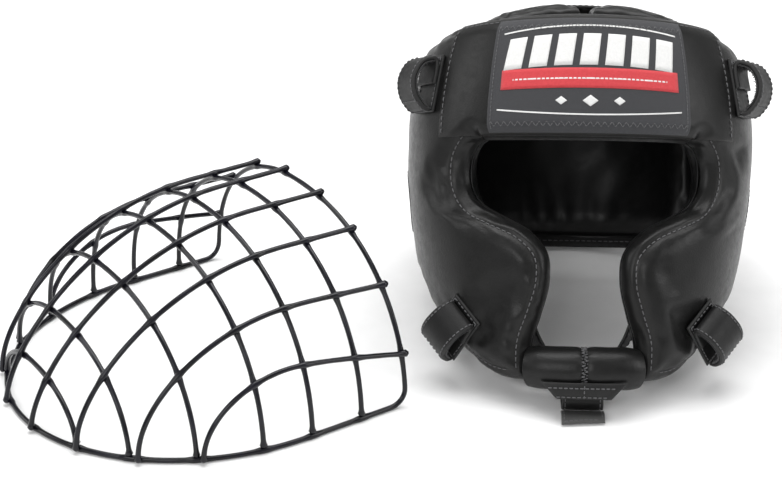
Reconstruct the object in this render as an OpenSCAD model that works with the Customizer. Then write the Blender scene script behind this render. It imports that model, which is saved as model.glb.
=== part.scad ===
// Boxing headgear with a detachable wire face cage.
//
// The headgear is drawn in its own head frame, in millimetres: X to the wearer's left, Y towards the
// back of the head, Z up along the neck, with Z = 0 at the underside of the chin roll.  It lies on a
// table, leaning back on its chin strap and its neck pad, and the cage lies face up beside it.
// Angles around the head start at the nose, at 0, and grow towards +X.  A depth is measured inward
// from the outside of the padded shell, so a negative depth is outside it.

/* [Padded shell] */
// Half of the shell's width at its widest level
shell_half_w = 116.5; // [110:0.5:122]
// Depth of the shell in front of the head's centre
shell_front = 114; // [108:1:120]
// Depth of the shell behind the head's centre
shell_back = 138; // [132:1:142]
// Thickness of the face and side padding
pad_t = 29; // [26:1:32]
// Thickness of the neck pad
neck_pad_t = 25; // [22:1:28]
// Thickness of the outer leather
leather_t = 1.4; // [1.2:0.1:1.6]

/* [Face cage] */
// Half of the cage's width at the brow
cage_half_w = 125; // [120:1:128]
// Height of the cage over the face
cage_h = 111; // [106:1:116]
// Length of the cage from brow to chin
cage_len = 215; // [210:1:220]
// Diameter of the coated wire
wire_d = 3.4; // [3:0.1:3.8]
// Direction of the cage's brow end on the table
cage_turn = 36; // [30:1:42]

/* [Straps] */
// Width of the chin strap
chin_strap_w = 27; // [25:1:30]
// Width of the four loops that hold the cage
loop_w = 27; // [24:1:28]
// Height of the closing flaps behind the head
flap_h = 52; // [44:1:56]
// Width of the straps over the crown
crown_strap_w = 25; // [20:1:28]
// Thickness of a strap of doubled leather
strap_t = 2.2; // [1.8:0.1:2.4]

/* [Hidden] */

// Colours.
leather_colour = "#2b2b2d";
lining_colour = "#17171a";
foam_colour = "#8c8f94";
tape_colour = "#1d1d20";
patch_colour = "#3c3e44";
wire_colour = "#26262b";

// Layout on the table: the head frame's origin, its lean, and the middle of the cage's brow end.
head_at = [131.5, -24.75, -26.9];
lean = 27;
cage_at = [-56.9, -4.75, 0];

// Levels of the shell, in the head frame.
wide_level = 165;      // where the shell is widest
deep_level = 150;      // where the shell is deepest
brow_z = 244;          // top edge at the forehead
nape_z = 226;          // top edge at the back
eye_top_z = 161;       // upper edge of the eye opening
neck_z = 93;           // lower edge of the neck pad
shell_power = 2.2;     // 2 is an ellipse, more is squarer
seam_a = 38;           // seam between brow and side pads
rear_a = 118;          // rear edge of the side pads
neck_a = 128;          // side edge of the neck pad
fit_gap = 0.3;         // air between neighbouring pieces
lining_t = 1.1;
tape_t = 1.1;          // hook or pile tape
seam_t = leather_t + fit_gap + lining_t;   // cover and lining where they are sewn together
arc_r = 105;           // mean radius, for lengths along the shell

// Crown.
crown_top = 257;
crown_t = 12;
crown_slot = 4;        // half of the gap between the two crown pads

// Chin roll.
roll_r = 14;
roll_a = 20.6;         // angle of the roll's outer end

function mix(a, b, t) = a + (b - a) * t;
function unit(v) = v / norm(v);
function span(n) = [for (i = [0 : n]) i / n];
function inside(list) = [for (i = [1 : len(list) - 2]) list[i]];

// A smooth curve through hand-placed points, with t from 0 to 1 (Catmull-Rom).
function curve(pts, t) =
  let (n = len(pts) - 1, s = min(max(t, 0), 1) * n, i = min(floor(s), n - 1), f = s - i,
       p0 = pts[max(i - 1, 0)], p1 = pts[i], p2 = pts[i + 1], p3 = pts[min(i + 2, n)])
  0.5 * (2 * p1 + (p2 - p0) * f + (2 * p0 - 5 * p1 + 4 * p2 - p3) * f * f
         + (3 * p1 - p0 - 3 * p2 + p3) * f * f * f);

// ---------- The shell's outside ----------

function half_w(z) = shell_half_w
  - (z > wide_level ? 17 * pow((z - wide_level) / 75, 2) : 19 * pow((wide_level - z) / 127, 2));
function front_d(z) = shell_front
  - (z > deep_level ? 12 * pow((z - deep_level) / 90, 2) : 6 * pow((deep_level - z) / 150, 2));
function back_d(z) = shell_back
  - (z > deep_level ? 24 * pow((z - deep_level) / 90, 2) : 10 * pow((deep_level - z) / 57, 2));

// A point at an angle and a level, at a depth under the outside.
function shell(a, z, depth = 0) =
  let (w = half_w(z) - depth,
       d = (cos(a) > 0 ? front_d(z) : back_d(z)) - depth,
       r = pow(pow(abs(sin(a)) / w, shell_power) + pow(abs(cos(a)) / d, shell_power), -1 / shell_power))
  [r * sin(a), -r * cos(a), z];

// Direction that the outside faces, as an angle around the head, and how far it leans from upright.
function facing(a, z) = let (t = shell(a + 1, z) - shell(a - 1, z)) atan2(t[1], t[0]);
function leaning(a, z) =
  let (up = shell(a, z + 4) - shell(a, z - 4), f = facing(a, z))
  atan2(up[0] * sin(f) - up[1] * cos(f), up[2]);

function top_z(a) = mix(nape_z, brow_z, (1 + cos(a)) / 2);

// ---------- Padded layers ----------

// How full a pad is at a distance from its sewn edge, with a rounded edge r wide: 0 to 1.
function puff(d, r) = d <= 0 ? 0 : sqrt(1 - pow(1 - min(d / r, 1), 2));

// Depth of a sheet that lies some way inside a pad's outer or inner face.  A pad is its depth at the
// sewn rim, its thickness and the width of its rounded edge.
face_pad = [14, pad_t, 20];
brow_pad = [14, pad_t, 12];
neck_pad = [8, neck_pad_t, 18];
crown_pad = [6, crown_t, 9];
function under_outside(pad, d, in) = pad[0] * (1 - puff(d - in, pad[2])) + in;
function over_inside(pad, d, in) =
  let (rim = pad[0] + seam_t) rim + (pad[1] - rim) * puff(d - in, pad[2]) - in;

// The six sheets that bound a pad's cover, its foam and its lining, from the outside inward.
cover_sheets = [function(pad, d) under_outside(pad, d, 0),
                function(pad, d) under_outside(pad, d, leather_t)];
foam_sheets = [function(pad, d) under_outside(pad, d, leather_t + fit_gap),
               function(pad, d) over_inside(pad, d, lining_t + fit_gap)];
lining_sheets = [function(pad, d) over_inside(pad, d, lining_t),
                 function(pad, d) over_inside(pad, d, 0)];

// Faces of a solid whose two sheets are grids of nu by nv points.
function slab_faces(nu, nv) =
  let (at = function(i, j, s) s * nu * nv + j * nu + i)
  concat(
    [for (j = [0 : nv - 2]) for (i = [0 : nu - 2]) each [
      [at(i, j, 0), at(i, j + 1, 0), at(i + 1, j + 1, 0)], [at(i, j, 0), at(i + 1, j + 1, 0), at(i + 1, j, 0)],
      [at(i, j, 1), at(i + 1, j + 1, 1), at(i, j + 1, 1)], [at(i, j, 1), at(i + 1, j, 1), at(i + 1, j + 1, 1)]]],
    [for (i = [0 : nu - 2]) each [
      [at(i, 0, 0), at(i + 1, 0, 0), at(i + 1, 0, 1)], [at(i, 0, 0), at(i + 1, 0, 1), at(i, 0, 1)],
      [at(i, nv - 1, 0), at(i + 1, nv - 1, 1), at(i + 1, nv - 1, 0)],
      [at(i, nv - 1, 0), at(i, nv - 1, 1), at(i + 1, nv - 1, 1)]]],
    [for (j = [0 : nv - 2]) each [
      [at(0, j, 0), at(0, j + 1, 1), at(0, j + 1, 0)], [at(0, j, 0), at(0, j, 1), at(0, j + 1, 1)],
      [at(nu - 1, j, 0), at(nu - 1, j + 1, 0), at(nu - 1, j + 1, 1)],
      [at(nu - 1, j, 0), at(nu - 1, j + 1, 1), at(nu - 1, j, 1)]]]);

// A solid between two sheets of points.  Going along u and then v, its outer sheet faces outward.
module slab(us, vs, outer, inner)
  polyhedron(
    concat([for (v = vs) for (u = us) outer(u, v)], [for (v = vs) for (u = us) inner(u, v)]),
    slab_faces(len(us), len(vs)));

// One layer of a pad: place(u, v) is its angle and level, edge(u, v) its distance from the sewn edge.
module pad_layer(us, vs, pad, place, edge, sheets)
  slab(us, vs,
    function(u, v) let (p = place(u, v)) shell(p[0], p[1], sheets[0](pad, edge(u, v))),
    function(u, v) let (p = place(u, v)) shell(p[0], p[1], sheets[1](pad, edge(u, v))));

// A thin piece that follows the shell between two angles and two levels, between two depths.
module shell_sheet(a0, a1, z0, z1, depth0, depth1, steps = 8)
  slab(span(steps), span(2),
    function(u, v) shell(mix(a0, a1, u), mix(z0, z1, v), depth0),
    function(u, v) shell(mix(a0, a1, u), mix(z0, z1, v), depth1));

module in_head() translate(head_at) rotate([-lean, 0, 0]) children();
module both_sides(right) if (right) mirror([1, 0, 0]) children(); else children();

// ---------- Brow ----------

brow_us = [0, 0.03, 0.1, 0.25, 0.42, 0.58, 0.75, 0.9, 0.97, 1];
brow_vs = [0, 0.04, 0.12, 0.27, 0.5, 0.73, 0.88, 0.96, 1];
brow_h = brow_z - eye_top_z;
brow_place = function(u, v)
  let (a = mix(-seam_a, seam_a, u)) [a, mix(eye_top_z, top_z(a), v)];
brow_edge = function(u, v)
  let (w = 2 * seam_a * arc_r * PI / 180) min(min(u, 1 - u) * w, min(v, 1 - v) * brow_h);

module brow_layer(us, vs, sheets) in_head() pad_layer(us, vs, brow_pad, brow_place, brow_edge, sheets);
module brow_cover() color(leather_colour) brow_layer(brow_us, brow_vs, cover_sheets);
module brow_foam() color(foam_colour) brow_layer(inside(brow_us), inside(brow_vs), foam_sheets);
module brow_lining() color(lining_colour) brow_layer(brow_us, brow_vs, lining_sheets);

// ---------- Sides ----------

// Edges of a side pad as angle and level.  The front edge runs up from the chin roll around the
// mouth, under the cheek, round the corner of the eye opening and up the brow seam.
front_edge = [[21.5, 5], [21, 28], [17, 48], [13.8, 68], [14.5, 88], [22, 103], [34, 113], [42, 120],
              [46.5, 132], [46.5, 147], [43, 157.5], [39, 164], [38.6, 188], [38.6, 214], [38.6, top_z(38.6)]];
rear_edge = [[106, 70], [113, 88], [117, 120], [rear_a, 175], [rear_a, top_z(rear_a)]];
lower_edge = [[21.5, 5], [36, 7], [50, 17], [64, 32], [78, 48], [92, 60], [106, 70]];
function upper_edge(u) = let (a = mix(38.6, rear_a, u)) [a, top_z(a)];

side_us = [0, 0.022, 0.065, 0.14, 0.27, 0.42, 0.56, 0.7, 0.82, 0.92, 0.975, 1];
side_vs = [0, 0.025, 0.07, 0.14, 0.21, 0.285, 0.36, 0.43, 0.5, 0.57, 0.64, 0.71, 0.785, 0.87, 0.945, 0.98, 1];

// The patch inside four edges (a Coons patch).
side_place = function(u, v)
  (1 - u) * curve(front_edge, v) + u * curve(rear_edge, v)
  + (1 - v) * curve(lower_edge, u) + v * upper_edge(u)
  - (1 - u) * (1 - v) * lower_edge[0] - u * (1 - v) * rear_edge[0]
  - (1 - u) * v * upper_edge(0) - u * v * upper_edge(1);

function laid_flat(p) = [p[0] * arc_r * PI / 180, p[1]];
side_outline = [
  for (t = span(40)) laid_flat(curve(front_edge, t)),
  for (t = span(10)) laid_flat(upper_edge(t)),
  for (t = span(16)) laid_flat(curve(rear_edge, 1 - t)),
  for (t = span(16)) laid_flat(curve(lower_edge, 1 - t))];
function to_segment(p, a, b) =
  let (ab = b - a, l = ab * ab, t = l == 0 ? 0 : min(max((p - a) * ab / l, 0), 1)) norm(p - a - t * ab);
side_edge = function(u, v)
  (u == 0 || u == 1 || v == 0 || v == 1) ? 0
  : let (p = laid_flat(side_place(u, v)))
    min([for (i = [0 : len(side_outline) - 2]) to_segment(p, side_outline[i], side_outline[i + 1])]);

// Sheets sewn over the brow, which follow its rounded top and the rounded edge of the eye opening.
eye_outline = concat([for (t = span(24)) laid_flat(curve(front_edge, t * 11 / (len(front_edge) - 1)))],
                     [laid_flat([seam_a, eye_top_z]), laid_flat([-seam_a, eye_top_z])]);
function from_eye(a, z) =
  let (p = laid_flat([abs(a), z]))
  min([for (i = [0 : len(eye_outline) - 2]) to_segment(p, eye_outline[i], eye_outline[i + 1])]);
module brow_sheet(a_max, z0, z1, lift, t)
  let (point = function(u, v, off)
         let (a = mix(-a_max, a_max, u), z = mix(z0, top_z(a) - brow_z + z1, v),
              d = min(from_eye(a, z), top_z(a) - z))
         shell(a, z, under_outside(brow_pad, d, 0) - off))
  slab(span(16), [0, 0.05, 0.13, 0.3, 0.7, 0.87, 0.95, 1],
    function(u, v) point(u, v, lift + t), function(u, v) point(u, v, lift));
overlay_lift = 1.6;
overlay_t = 1.2;
module forehead_overlay() color(leather_colour) in_head()
  brow_sheet(53, eye_top_z + 2, brow_z - 2.5, overlay_lift, overlay_t);
module label_patch() color(patch_colour) in_head()
  brow_sheet(33, eye_top_z + 4, brow_z - 4.5, overlay_lift + overlay_t + fit_gap, 0.9);

// Ear opening.
ear_a = 92;
ear_z = 122;
ear_d = 40;
sleeve_t = 1.6;
ear_x = shell(ear_a, ear_z)[0];
ear_y = shell(ear_a, ear_z)[1];
module ear_bore(d, x0, x1) translate([x0, ear_y, ear_z]) rotate([0, 90, 0]) cylinder(h = x1 - x0, d = d, $fn = 48);

module side_layer(right, us, vs, sheets) in_head() both_sides(right)
  difference() {
    pad_layer(us, vs, face_pad, side_place, side_edge, sheets);
    ear_bore(ear_d, ear_x - pad_t - 8, ear_x + 8);
  }
module side_cover(right) color(leather_colour) side_layer(right, side_us, side_vs, cover_sheets);
module side_foam(right) color(foam_colour) side_layer(right, inside(side_us), inside(side_vs), foam_sheets);
module side_lining(right) color(lining_colour) side_layer(right, side_us, side_vs, lining_sheets);
module side_cover_left() side_cover(false);
module side_cover_right() side_cover(true);
module side_foam_left() side_foam(false);
module side_foam_right() side_foam(true);
module side_lining_left() side_lining(false);
module side_lining_right() side_lining(true);

// Leather tube that lines the ear opening.
module ear_sleeve(right) color(leather_colour) in_head() both_sides(right)
  difference() {
    ear_bore(ear_d - 2 * fit_gap, ear_x - pad_t - 1, ear_x + 0.5);
    ear_bore(ear_d - 2 * fit_gap - 2 * sleeve_t, ear_x - pad_t - 2, ear_x + 2);
  }
module ear_sleeve_left() ear_sleeve(false);
module ear_sleeve_right() ear_sleeve(true);

// ---------- Chin ----------

// The roll's centre line, and a point around it: w is 0 outward and 90 upward.
function roll_point(a, w, r) =
  let (c = shell(a, roll_r, roll_r), f = facing(a, roll_r))
  c + r * [cos(w) * sin(f), -cos(w) * cos(f), sin(w)];
function roll_fullness(u) = mix(0.8, 1, puff(u * 40, 6));

// A tube around the roll's centre line, from near the middle seam to its outer end.
module roll_tube(inset, us)
  let (m = 14, rings = [for (u = us) for (k = [0 : m - 1])
         roll_point(mix(0.25, roll_a, u), 360 * k / m, roll_r * roll_fullness(u) - inset)],
       n = len(us))
  polyhedron(rings, concat(
    [for (i = [0 : n - 2]) for (k = [0 : m - 1]) let (l = (k + 1) % m) each [
      [i * m + k, i * m + l, (i + 1) * m + l], [i * m + k, (i + 1) * m + l, (i + 1) * m + k]]],
    [[for (k = [m - 1 : -1 : 0]) k]], [[for (k = [0 : m - 1]) (n - 1) * m + k]]));

roll_us = [0, 0.03, 0.09, 0.2, 0.4, 0.6, 0.8, 1];
module chin_roll(right) color(leather_colour) in_head() both_sides(right)
  difference() {
    roll_tube(0, roll_us);
    roll_tube(leather_t, [0.02, 0.05, 0.11, 0.21, 0.4, 0.6, 0.8, 1.05]);
  }
module chin_core(right) color(foam_colour) in_head() both_sides(right)
  roll_tube(leather_t + fit_gap, [0.04, 0.07, 0.13, 0.22, 0.4, 0.6, 0.8, 0.98]);
module chin_roll_left() chin_roll(false);
module chin_roll_right() chin_roll(true);
module chin_core_left() chin_core(false);
module chin_core_right() chin_core(true);

// Doubled leather sewn under the roll, hanging below it.  Its points are outward and up from the
// roll's centre line.
flap_path = [[11.6, -8.6], [10.6, -13.5], [7.6, -19.5]];
function chin_flap_point(u, v, off) =
  let (a = mix(-1, 1, u) * mix(9.5, 15, v), p = curve(flap_path, 1 - v), f = facing(a, roll_r),
       c = shell(a, roll_r, roll_r))
  c + (p[0] + off) * [sin(f), -cos(f), 0] + [0, 0, p[1]];
module chin_flap() color(leather_colour) in_head()
  slab(span(8), span(4),
    function(u, v) chin_flap_point(u, v, strap_t),
    function(u, v) chin_flap_point(u, v, 0));

// A flat strap along a curve.  across is the direction of its width.
module ribbon(path, across, w, t, steps)
  let (at = function(u, v, off)
         let (tangent = unit(curve(path, u + 0.01) - curve(path, u - 0.01)), side = unit(curve(across, u)))
         curve(path, u) + side * w * (v - 0.5) + unit(cross(tangent, side)) * off)
  slab(span(steps), [0, 1], function(u, v) at(u, v, t / 2), function(u, v) at(u, v, -t / 2));

// Straps from inside the jaws down behind the roll to the fold under the chin.
module chin_strap(right) color(leather_colour) in_head() both_sides(right)
  ribbon([[41, -57, 61], [37, -58, 45], [30, -59, 30], [19, -60, 17], [1, -60, 10]],
         [[0.5, 1, 0], [0.35, 1, 0], [0.2, 1, 0], [0, 1, 0]], chin_strap_w, strap_t, 8);
module chin_strap_left() chin_strap(false);
module chin_strap_right() chin_strap(true);

// A band of even thickness along a flat path, as an outline.
function band(path, t) =
  let (n = len(path) - 1,
       side = function(i) let (d = unit(path[min(i + 1, n)] - path[max(i - 1, 0)])) [-d[1], d[0]] * t / 2)
  concat([for (i = [0 : n]) path[i] + side(i)], [for (i = [n : -1 : 0]) path[i] - side(i)]);

// The strap's fold under the chin stands on the table: its points are along Y and Z there.
fold_path = [[-85.1, 13.2], [-86.7, 8], [-85.5, 3.2], [-82, 1.25], [-75, 1.15], [-68, 1.5], [-65.5, 5]];
tab_hinge = [-88.4, 1.9];
tab_path = [tab_hinge, [-92.5, 3.6], [-97.5, 3.9], [-102, 2.4]];
module across_head(w) translate([head_at[0], head_at[1], 0]) rotate([90, 0, 90]) linear_extrude(w, center = true) children();
module chin_strap_fold() color(leather_colour) across_head(chin_strap_w)
  polygon(band([for (t = span(24)) curve(fold_path, t)], strap_t));
module chin_tab() color(leather_colour) across_head(chin_strap_w + 1)
  polygon(band([for (t = span(8)) curve(tab_path, t)], strap_t - 0.4));

// ---------- Back ----------

neck_flange = 8;
back_us = [0, 0.02, 0.06, 0.13, 0.25, 0.38, 0.5, 0.62, 0.75, 0.87, 0.94, 0.98, 1];
back_vs = [0, 0.03, neck_flange / (nape_z - neck_z), 0.09, 0.16, 0.32, 0.5, 0.7, 0.86, 0.95, 0.985, 1];
back_place = function(u, v)
  let (a = mix(neck_a, 360 - neck_a, u)) [a, mix(neck_z, top_z(a), v)];
back_edge = function(u, v)
  let (w = (360 - 2 * neck_a) * arc_r * PI / 180, h = nape_z - neck_z)
  min(min(u, 1 - u) * w, v * h - neck_flange, (1 - v) * h);

module back_layer(us, vs, sheets) in_head() pad_layer(us, vs, neck_pad, back_place, back_edge, sheets);
module back_cover() color(leather_colour) back_layer(back_us, back_vs, cover_sheets);
module back_foam() color(foam_colour)
  back_layer(inside(back_us), [for (v = inside(back_vs)) if (v > 0.07) v], foam_sheets);
module back_lining() color(lining_colour) back_layer(back_us, back_vs, lining_sheets);

// Folded strip around the neck pad's lower edge, its section as depth and height.
bind_t = 1.1;
bind_leg = 6;
module back_binding() color(leather_colour) in_head()
  let (d0 = neck_pad[0] - 0.1, d1 = neck_pad[0] + seam_t + 0.1, z0 = neck_z - 0.2,
       section = [[d0 - bind_t, z0 - bind_t], [d0 - bind_t, z0 + bind_leg], [d0, z0 + bind_leg], [d0, z0],
                  [d1, z0], [d1, z0 + bind_leg], [d1 + bind_t, z0 + bind_leg], [d1 + bind_t, z0 - bind_t]],
       m = len(section), n = len(back_us) - 1,
       rings = [for (t = back_us) for (p = section) shell(mix(neck_a, 360 - neck_a, t), p[1], p[0])])
  polyhedron(rings, concat(
    [for (i = [0 : n - 1]) for (k = [0 : m - 1]) let (l = (k + 1) % m) each [
      [i * m + k, i * m + l, (i + 1) * m + l], [i * m + k, (i + 1) * m + l, (i + 1) * m + k]]],
    [[for (k = [m - 1 : -1 : 0]) k]], [[for (k = [0 : m - 1]) n * m + k]]));

// Depths of what closes on hook and loop tape: the sewn pile tape, the hook tape on it, and the strap
// that carries the hook tape.  Straps are sewn down on a base of their own.
layer_gap = 0.5;
pile_in = -layer_gap;
hook_in = pile_in - tape_t - layer_gap;
strap_in = hook_in - tape_t - layer_gap;
base_in = strap_in + strap_t + layer_gap;
flap_z = 159;          // middle level of the closing flaps
module back_pile_field() color(tape_colour) in_head()
  shell_sheet(neck_a + 12, 348 - neck_a, flap_z - flap_h / 2, flap_z + flap_h / 2, pile_in - tape_t, pile_in, 20);

// Leather between a side pad and the neck pad.
module gusset(right) color(leather_colour) in_head() both_sides(right)
  slab(span(4), span(6),
    function(u, v) let (a = mix(rear_a + 0.5, neck_a - 0.4, u)) shell(a, mix(neck_z + 6, top_z(a) - 3, v), 14),
    function(u, v) let (a = mix(rear_a + 0.5, neck_a - 0.4, u)) shell(a, mix(neck_z + 6, top_z(a) - 3, v), 14 + leather_t));
module gusset_left() gusset(false);
module gusset_right() gusset(true);

// Closing flaps: a sewn base on each side pad, the flap that hinges on it and its hook tape.
flap_hinge_a = 110;
flap_end_a = 166;
module flap_base(right) color(leather_colour) in_head() both_sides(right)
  shell_sheet(103, flap_hinge_a + 4, flap_z - flap_h / 2, flap_z + flap_h / 2, base_in - strap_t, base_in, 4);
module rear_flap(right) color(leather_colour) in_head() both_sides(right)
  shell_sheet(flap_hinge_a, flap_end_a, flap_z - flap_h / 2, flap_z + flap_h / 2, strap_in - strap_t, strap_in, 14);
module rear_hook(right) color(tape_colour) in_head() both_sides(right)
  shell_sheet(neck_a + 14, flap_end_a - 1, flap_z - flap_h / 2 + 2, flap_z + flap_h / 2 - 2, hook_in - tape_t, hook_in, 8);
module flap_base_left() flap_base(false);
module flap_base_right() flap_base(true);
module rear_flap_left() rear_flap(false);
module rear_flap_right() rear_flap(true);
module rear_hook_left() rear_hook(false);
module rear_hook_right() rear_hook(true);

// ---------- Crown ----------

function crown_z(x, y) = crown_top - 15 * pow(x / 76, 2) - 26 * pow((y + 20) / 100, 2);
function crown_x(y) = 74 * pow(1 - pow(abs(y - 6) / 98, shell_power), 1 / shell_power);
crown_front_y = -66;
crown_back_y = 84;
function crown_point(x, y, depth) =
  let (n = unit([30 * x / pow(76, 2), 52 * (y + 20) / pow(100, 2), 1])) [x, y, crown_z(x, y)] - depth * n;

crown_us = [0, 0.04, 0.12, 0.3, 0.55, 0.8, 0.93, 1];
crown_vs = [0, 0.02, 0.07, 0.2, 0.4, 0.6, 0.8, 0.93, 0.98, 1];
crown_at = function(u, v) let (y = mix(crown_front_y, crown_back_y, v)) [mix(crown_slot, crown_x(y), u), y];
crown_edge = function(u, v)
  let (y = mix(crown_front_y, crown_back_y, v))
  min(min(u, 1 - u) * (crown_x(y) - crown_slot), min(v, 1 - v) * (crown_back_y - crown_front_y));

module crown_layer(right, us, vs, sheets) in_head() both_sides(right)
  slab(us, vs,
    function(u, v) let (p = crown_at(u, v)) crown_point(p[0], p[1], sheets[0](crown_pad, crown_edge(u, v))),
    function(u, v) let (p = crown_at(u, v)) crown_point(p[0], p[1], sheets[1](crown_pad, crown_edge(u, v))));
module crown_cover(right) color(leather_colour) crown_layer(right, crown_us, crown_vs, cover_sheets);
module crown_foam(right) color(foam_colour) crown_layer(right, inside(crown_us), inside(crown_vs), foam_sheets);
module crown_lining(right) color(lining_colour) crown_layer(right, crown_us, crown_vs, lining_sheets);
module crown_cover_left() crown_cover(false);
module crown_cover_right() crown_cover(true);
module crown_foam_left() crown_foam(false);
module crown_foam_right() crown_foam(true);
module crown_lining_left() crown_lining(false);
module crown_lining_right() crown_lining(true);

// Straps across the crown, between the two pads, at these places from front to back.
crown_strap_ys = [16, 56];
crown_hinge_x = -44;
module crown_sheet(x0, x1, y, w, depth0, depth1, steps)
  slab(span(steps), span(2),
    function(u, v) crown_point(mix(x0, x1, u), y + w * (v - 0.5), depth0),
    function(u, v) crown_point(mix(x0, x1, u), y + w * (v - 0.5), depth1));
module crown_pile_tapes() color(tape_colour) in_head()
  for (y = crown_strap_ys)
    crown_sheet(22, 62, y, crown_strap_w, pile_in - tape_t, pile_in, 6);
module crown_strap_bases() color(leather_colour) in_head()
  for (y = crown_strap_ys)
    crown_sheet(-62, crown_hinge_x + 4, y, crown_strap_w, base_in - strap_t, base_in, 3);
module crown_strap(y) color(leather_colour) in_head()
  crown_sheet(crown_hinge_x, 58, y, crown_strap_w, strap_in - strap_t, strap_in, 10);
module crown_hook(y) color(tape_colour) in_head()
  crown_sheet(26, 57, y, crown_strap_w - 3, hook_in - tape_t, hook_in, 4);
module crown_strap_front() crown_strap(crown_strap_ys[0]);
module crown_strap_rear() crown_strap(crown_strap_ys[1]);
module crown_hook_front() crown_hook(crown_strap_ys[0]);
module crown_hook_rear() crown_hook(crown_strap_ys[1]);

// ---------- Loops that hold the cage ----------

// A loop sits on the shell at an angle and a level, its tube turned from upright, its base lifted.
upper_loop = [62, 199, 90, 0, 0.4];
lower_loop = [50, 38, 42, -14, 2.4];
module on_shell(place)
  translate(shell(place[0], place[1], -place[4]))
    rotate([0, 0, facing(place[0], place[1]) + place[3]])
      rotate([leaning(place[0], place[1]), 0, 0])
        rotate([0, place[2], 0]) children();

// The loop's section: its base lies along X, and outward is -Y.
loop_half = 19.5;
loop_hinge = [loop_half - 1.4, -fit_gap - 1.5 * strap_t];
loop_path = [loop_hinge, [loop_half - 2, -8], [10.5, -15.5], [0, -18.6], [-10.5, -15.5], [-15.4, -9],
             [-15, -5], [-10, -fit_gap - 1.5 * strap_t], [1, -fit_gap - 1.5 * strap_t]];
module loop_base(right, place) color(leather_colour) in_head() both_sides(right) on_shell(place)
  linear_extrude(loop_w, center = true) translate([-loop_half, -strap_t]) square([2 * loop_half, strap_t]);
module loop_strap(right, place) color(leather_colour) in_head() both_sides(right) on_shell(place)
  linear_extrude(loop_w - 1, center = true) polygon(band([for (t = span(26)) curve(loop_path, t)], strap_t));
module loop_base_upper_left() loop_base(false, upper_loop);
module loop_base_upper_right() loop_base(true, upper_loop);
module loop_base_lower_left() loop_base(false, lower_loop);
module loop_base_lower_right() loop_base(true, lower_loop);
module loop_upper_left() loop_strap(false, upper_loop);
module loop_upper_right() loop_strap(true, upper_loop);
module loop_lower_left() loop_strap(false, lower_loop);
module loop_lower_right() loop_strap(true, lower_loop);

// ---------- Face cage ----------

// The cage's own frame: X from the brow end towards the chin, Z up from the table.
straight_len = 75;     // where the rim starts to curve in
level_len = 50;        // where the dome starts to fall
arch_power = 2.2;
corner_r = 11;
wire_r = wire_d / 2;
weld = wire_d + 0.1;   // distance between the centres of two wires that cross
curved_len = cage_len - straight_len;

function rim_half_w(s) = s < straight_len ? cage_half_w
  : cage_half_w * sqrt(max(0, 1 - pow((s - straight_len) / curved_len, 2)));
function dome_h(s) = s < level_len ? cage_h
  : cage_h * pow(max(0, 1 - pow((s - level_len) / (cage_len - level_len), 2)), 0.65);
function dome_z(s, y) =
  let (w = rim_half_w(s)) w <= abs(y) ? 0 : dome_h(s) * pow(1 - pow(abs(y) / w, arch_power), 1 / arch_power);
function dome_out(p) =
  unit([max(p[0] - straight_len, 0) / pow(curved_len, 2), p[1] / pow(cage_half_w, 2), p[2] / pow(cage_h, 2)]);

// A round wire along points, each with a direction that is across the wire there.
module wire(points, across, closed = false)
  let (m = 6, n = len(points),
       tangent = function(i) closed ? unit(points[(i + 1) % n] - points[(i + n - 1) % n])
                                    : unit(points[min(i + 1, n - 1)] - points[max(i - 1, 0)]),
       rings = [for (i = [0 : n - 1])
                  let (t = tangent(i), a = unit(across[i] - (across[i] * t) * t), b = cross(t, a))
                  for (k = [0 : m - 1]) points[i] + wire_r * (cos(360 * k / m) * a + sin(360 * k / m) * b)],
       last = closed ? n - 1 : n - 2)
  polyhedron(rings, concat(
    [for (i = [0 : last]) for (k = [0 : m - 1]) let (j = (i + 1) % n, l = (k + 1) % m) each [
      [i * m + k, j * m + l, i * m + l], [i * m + k, j * m + k, j * m + l]]],
    closed ? [] : [[for (k = [0 : m - 1]) k]],
    closed ? [] : [[for (k = [m - 1 : -1 : 0]) (n - 1) * m + k]]));

module on_table() translate(cage_at) rotate([0, 0, cage_turn + 180]) children();

function superellipse(w, h, q) =
  [w * sign(cos(q)) * pow(abs(cos(q)), 2 / arch_power), h * pow(abs(sin(q)), 2 / arch_power)];

// The rim: out along one side, round the chin, back, up a corner, over the arch and down again.
module cage_rim() color(wire_colour) on_table()
  let (y = cage_half_w, up = [0, 0, 1], side = [0, 1, 0], corner = wire_r + corner_r,
       foot = asin(pow(corner / cage_h, arch_power / 2)),
       chin = [for (q = [90 : -10 : -90])
                 [[straight_len + curved_len * cos(q), y * sin(q), wire_r], [cos(q), sin(q), 0]]],
       bend = function(s, q) [[corner_r * (1 - sin(q)), s * y, wire_r + corner_r * (1 - cos(q))], side * s],
       arch = [for (i = [0 : 24]) let (q = mix(180 - foot, foot, i / 24), p = superellipse(y, cage_h, q))
                 [[0, p[0], p[1]], unit([0, p[0] / y, p[1] / cage_h])]],
       path = concat([[[straight_len * 0.5, y, wire_r], side]], chin, [[[straight_len * 0.5, -y, wire_r], -side]],
                     [for (q = [0 : 22.5 : 67.5]) bend(-1, q)], arch, [for (q = [67.5 : -22.5 : 0]) bend(1, q)]))
  wire([for (p = path) p[0]], [for (p = path) p[1]], closed = true);

// Wires from the arch to the rim, on the outside: half of their spacing at the arch and at the rim.
long_wires = [[22, 19], [61, 56], [97, 88], [120, 110]];
overhang = 3;
module cage_long_wires() color(wire_colour) on_table()
  for (w = long_wires) for (s = [-1, 1])
    let (end = straight_len + curved_len * sqrt(1 - pow(w[1] / cage_half_w, 2)),
         on_dome = [for (t = span(18))
                      let (x = mix(-overhang, end, 1 - pow(1 - t, 2)), y = s * mix(w[0], w[1], max(x, 0) / end))
                      [x, y, t == 1 ? wire_r : max(dome_z(max(x, 0), y), wire_r)]])
    wire([for (p = on_dome) p + weld * dome_out(p)], [for (p = on_dome) dome_out(p)]);

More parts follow.
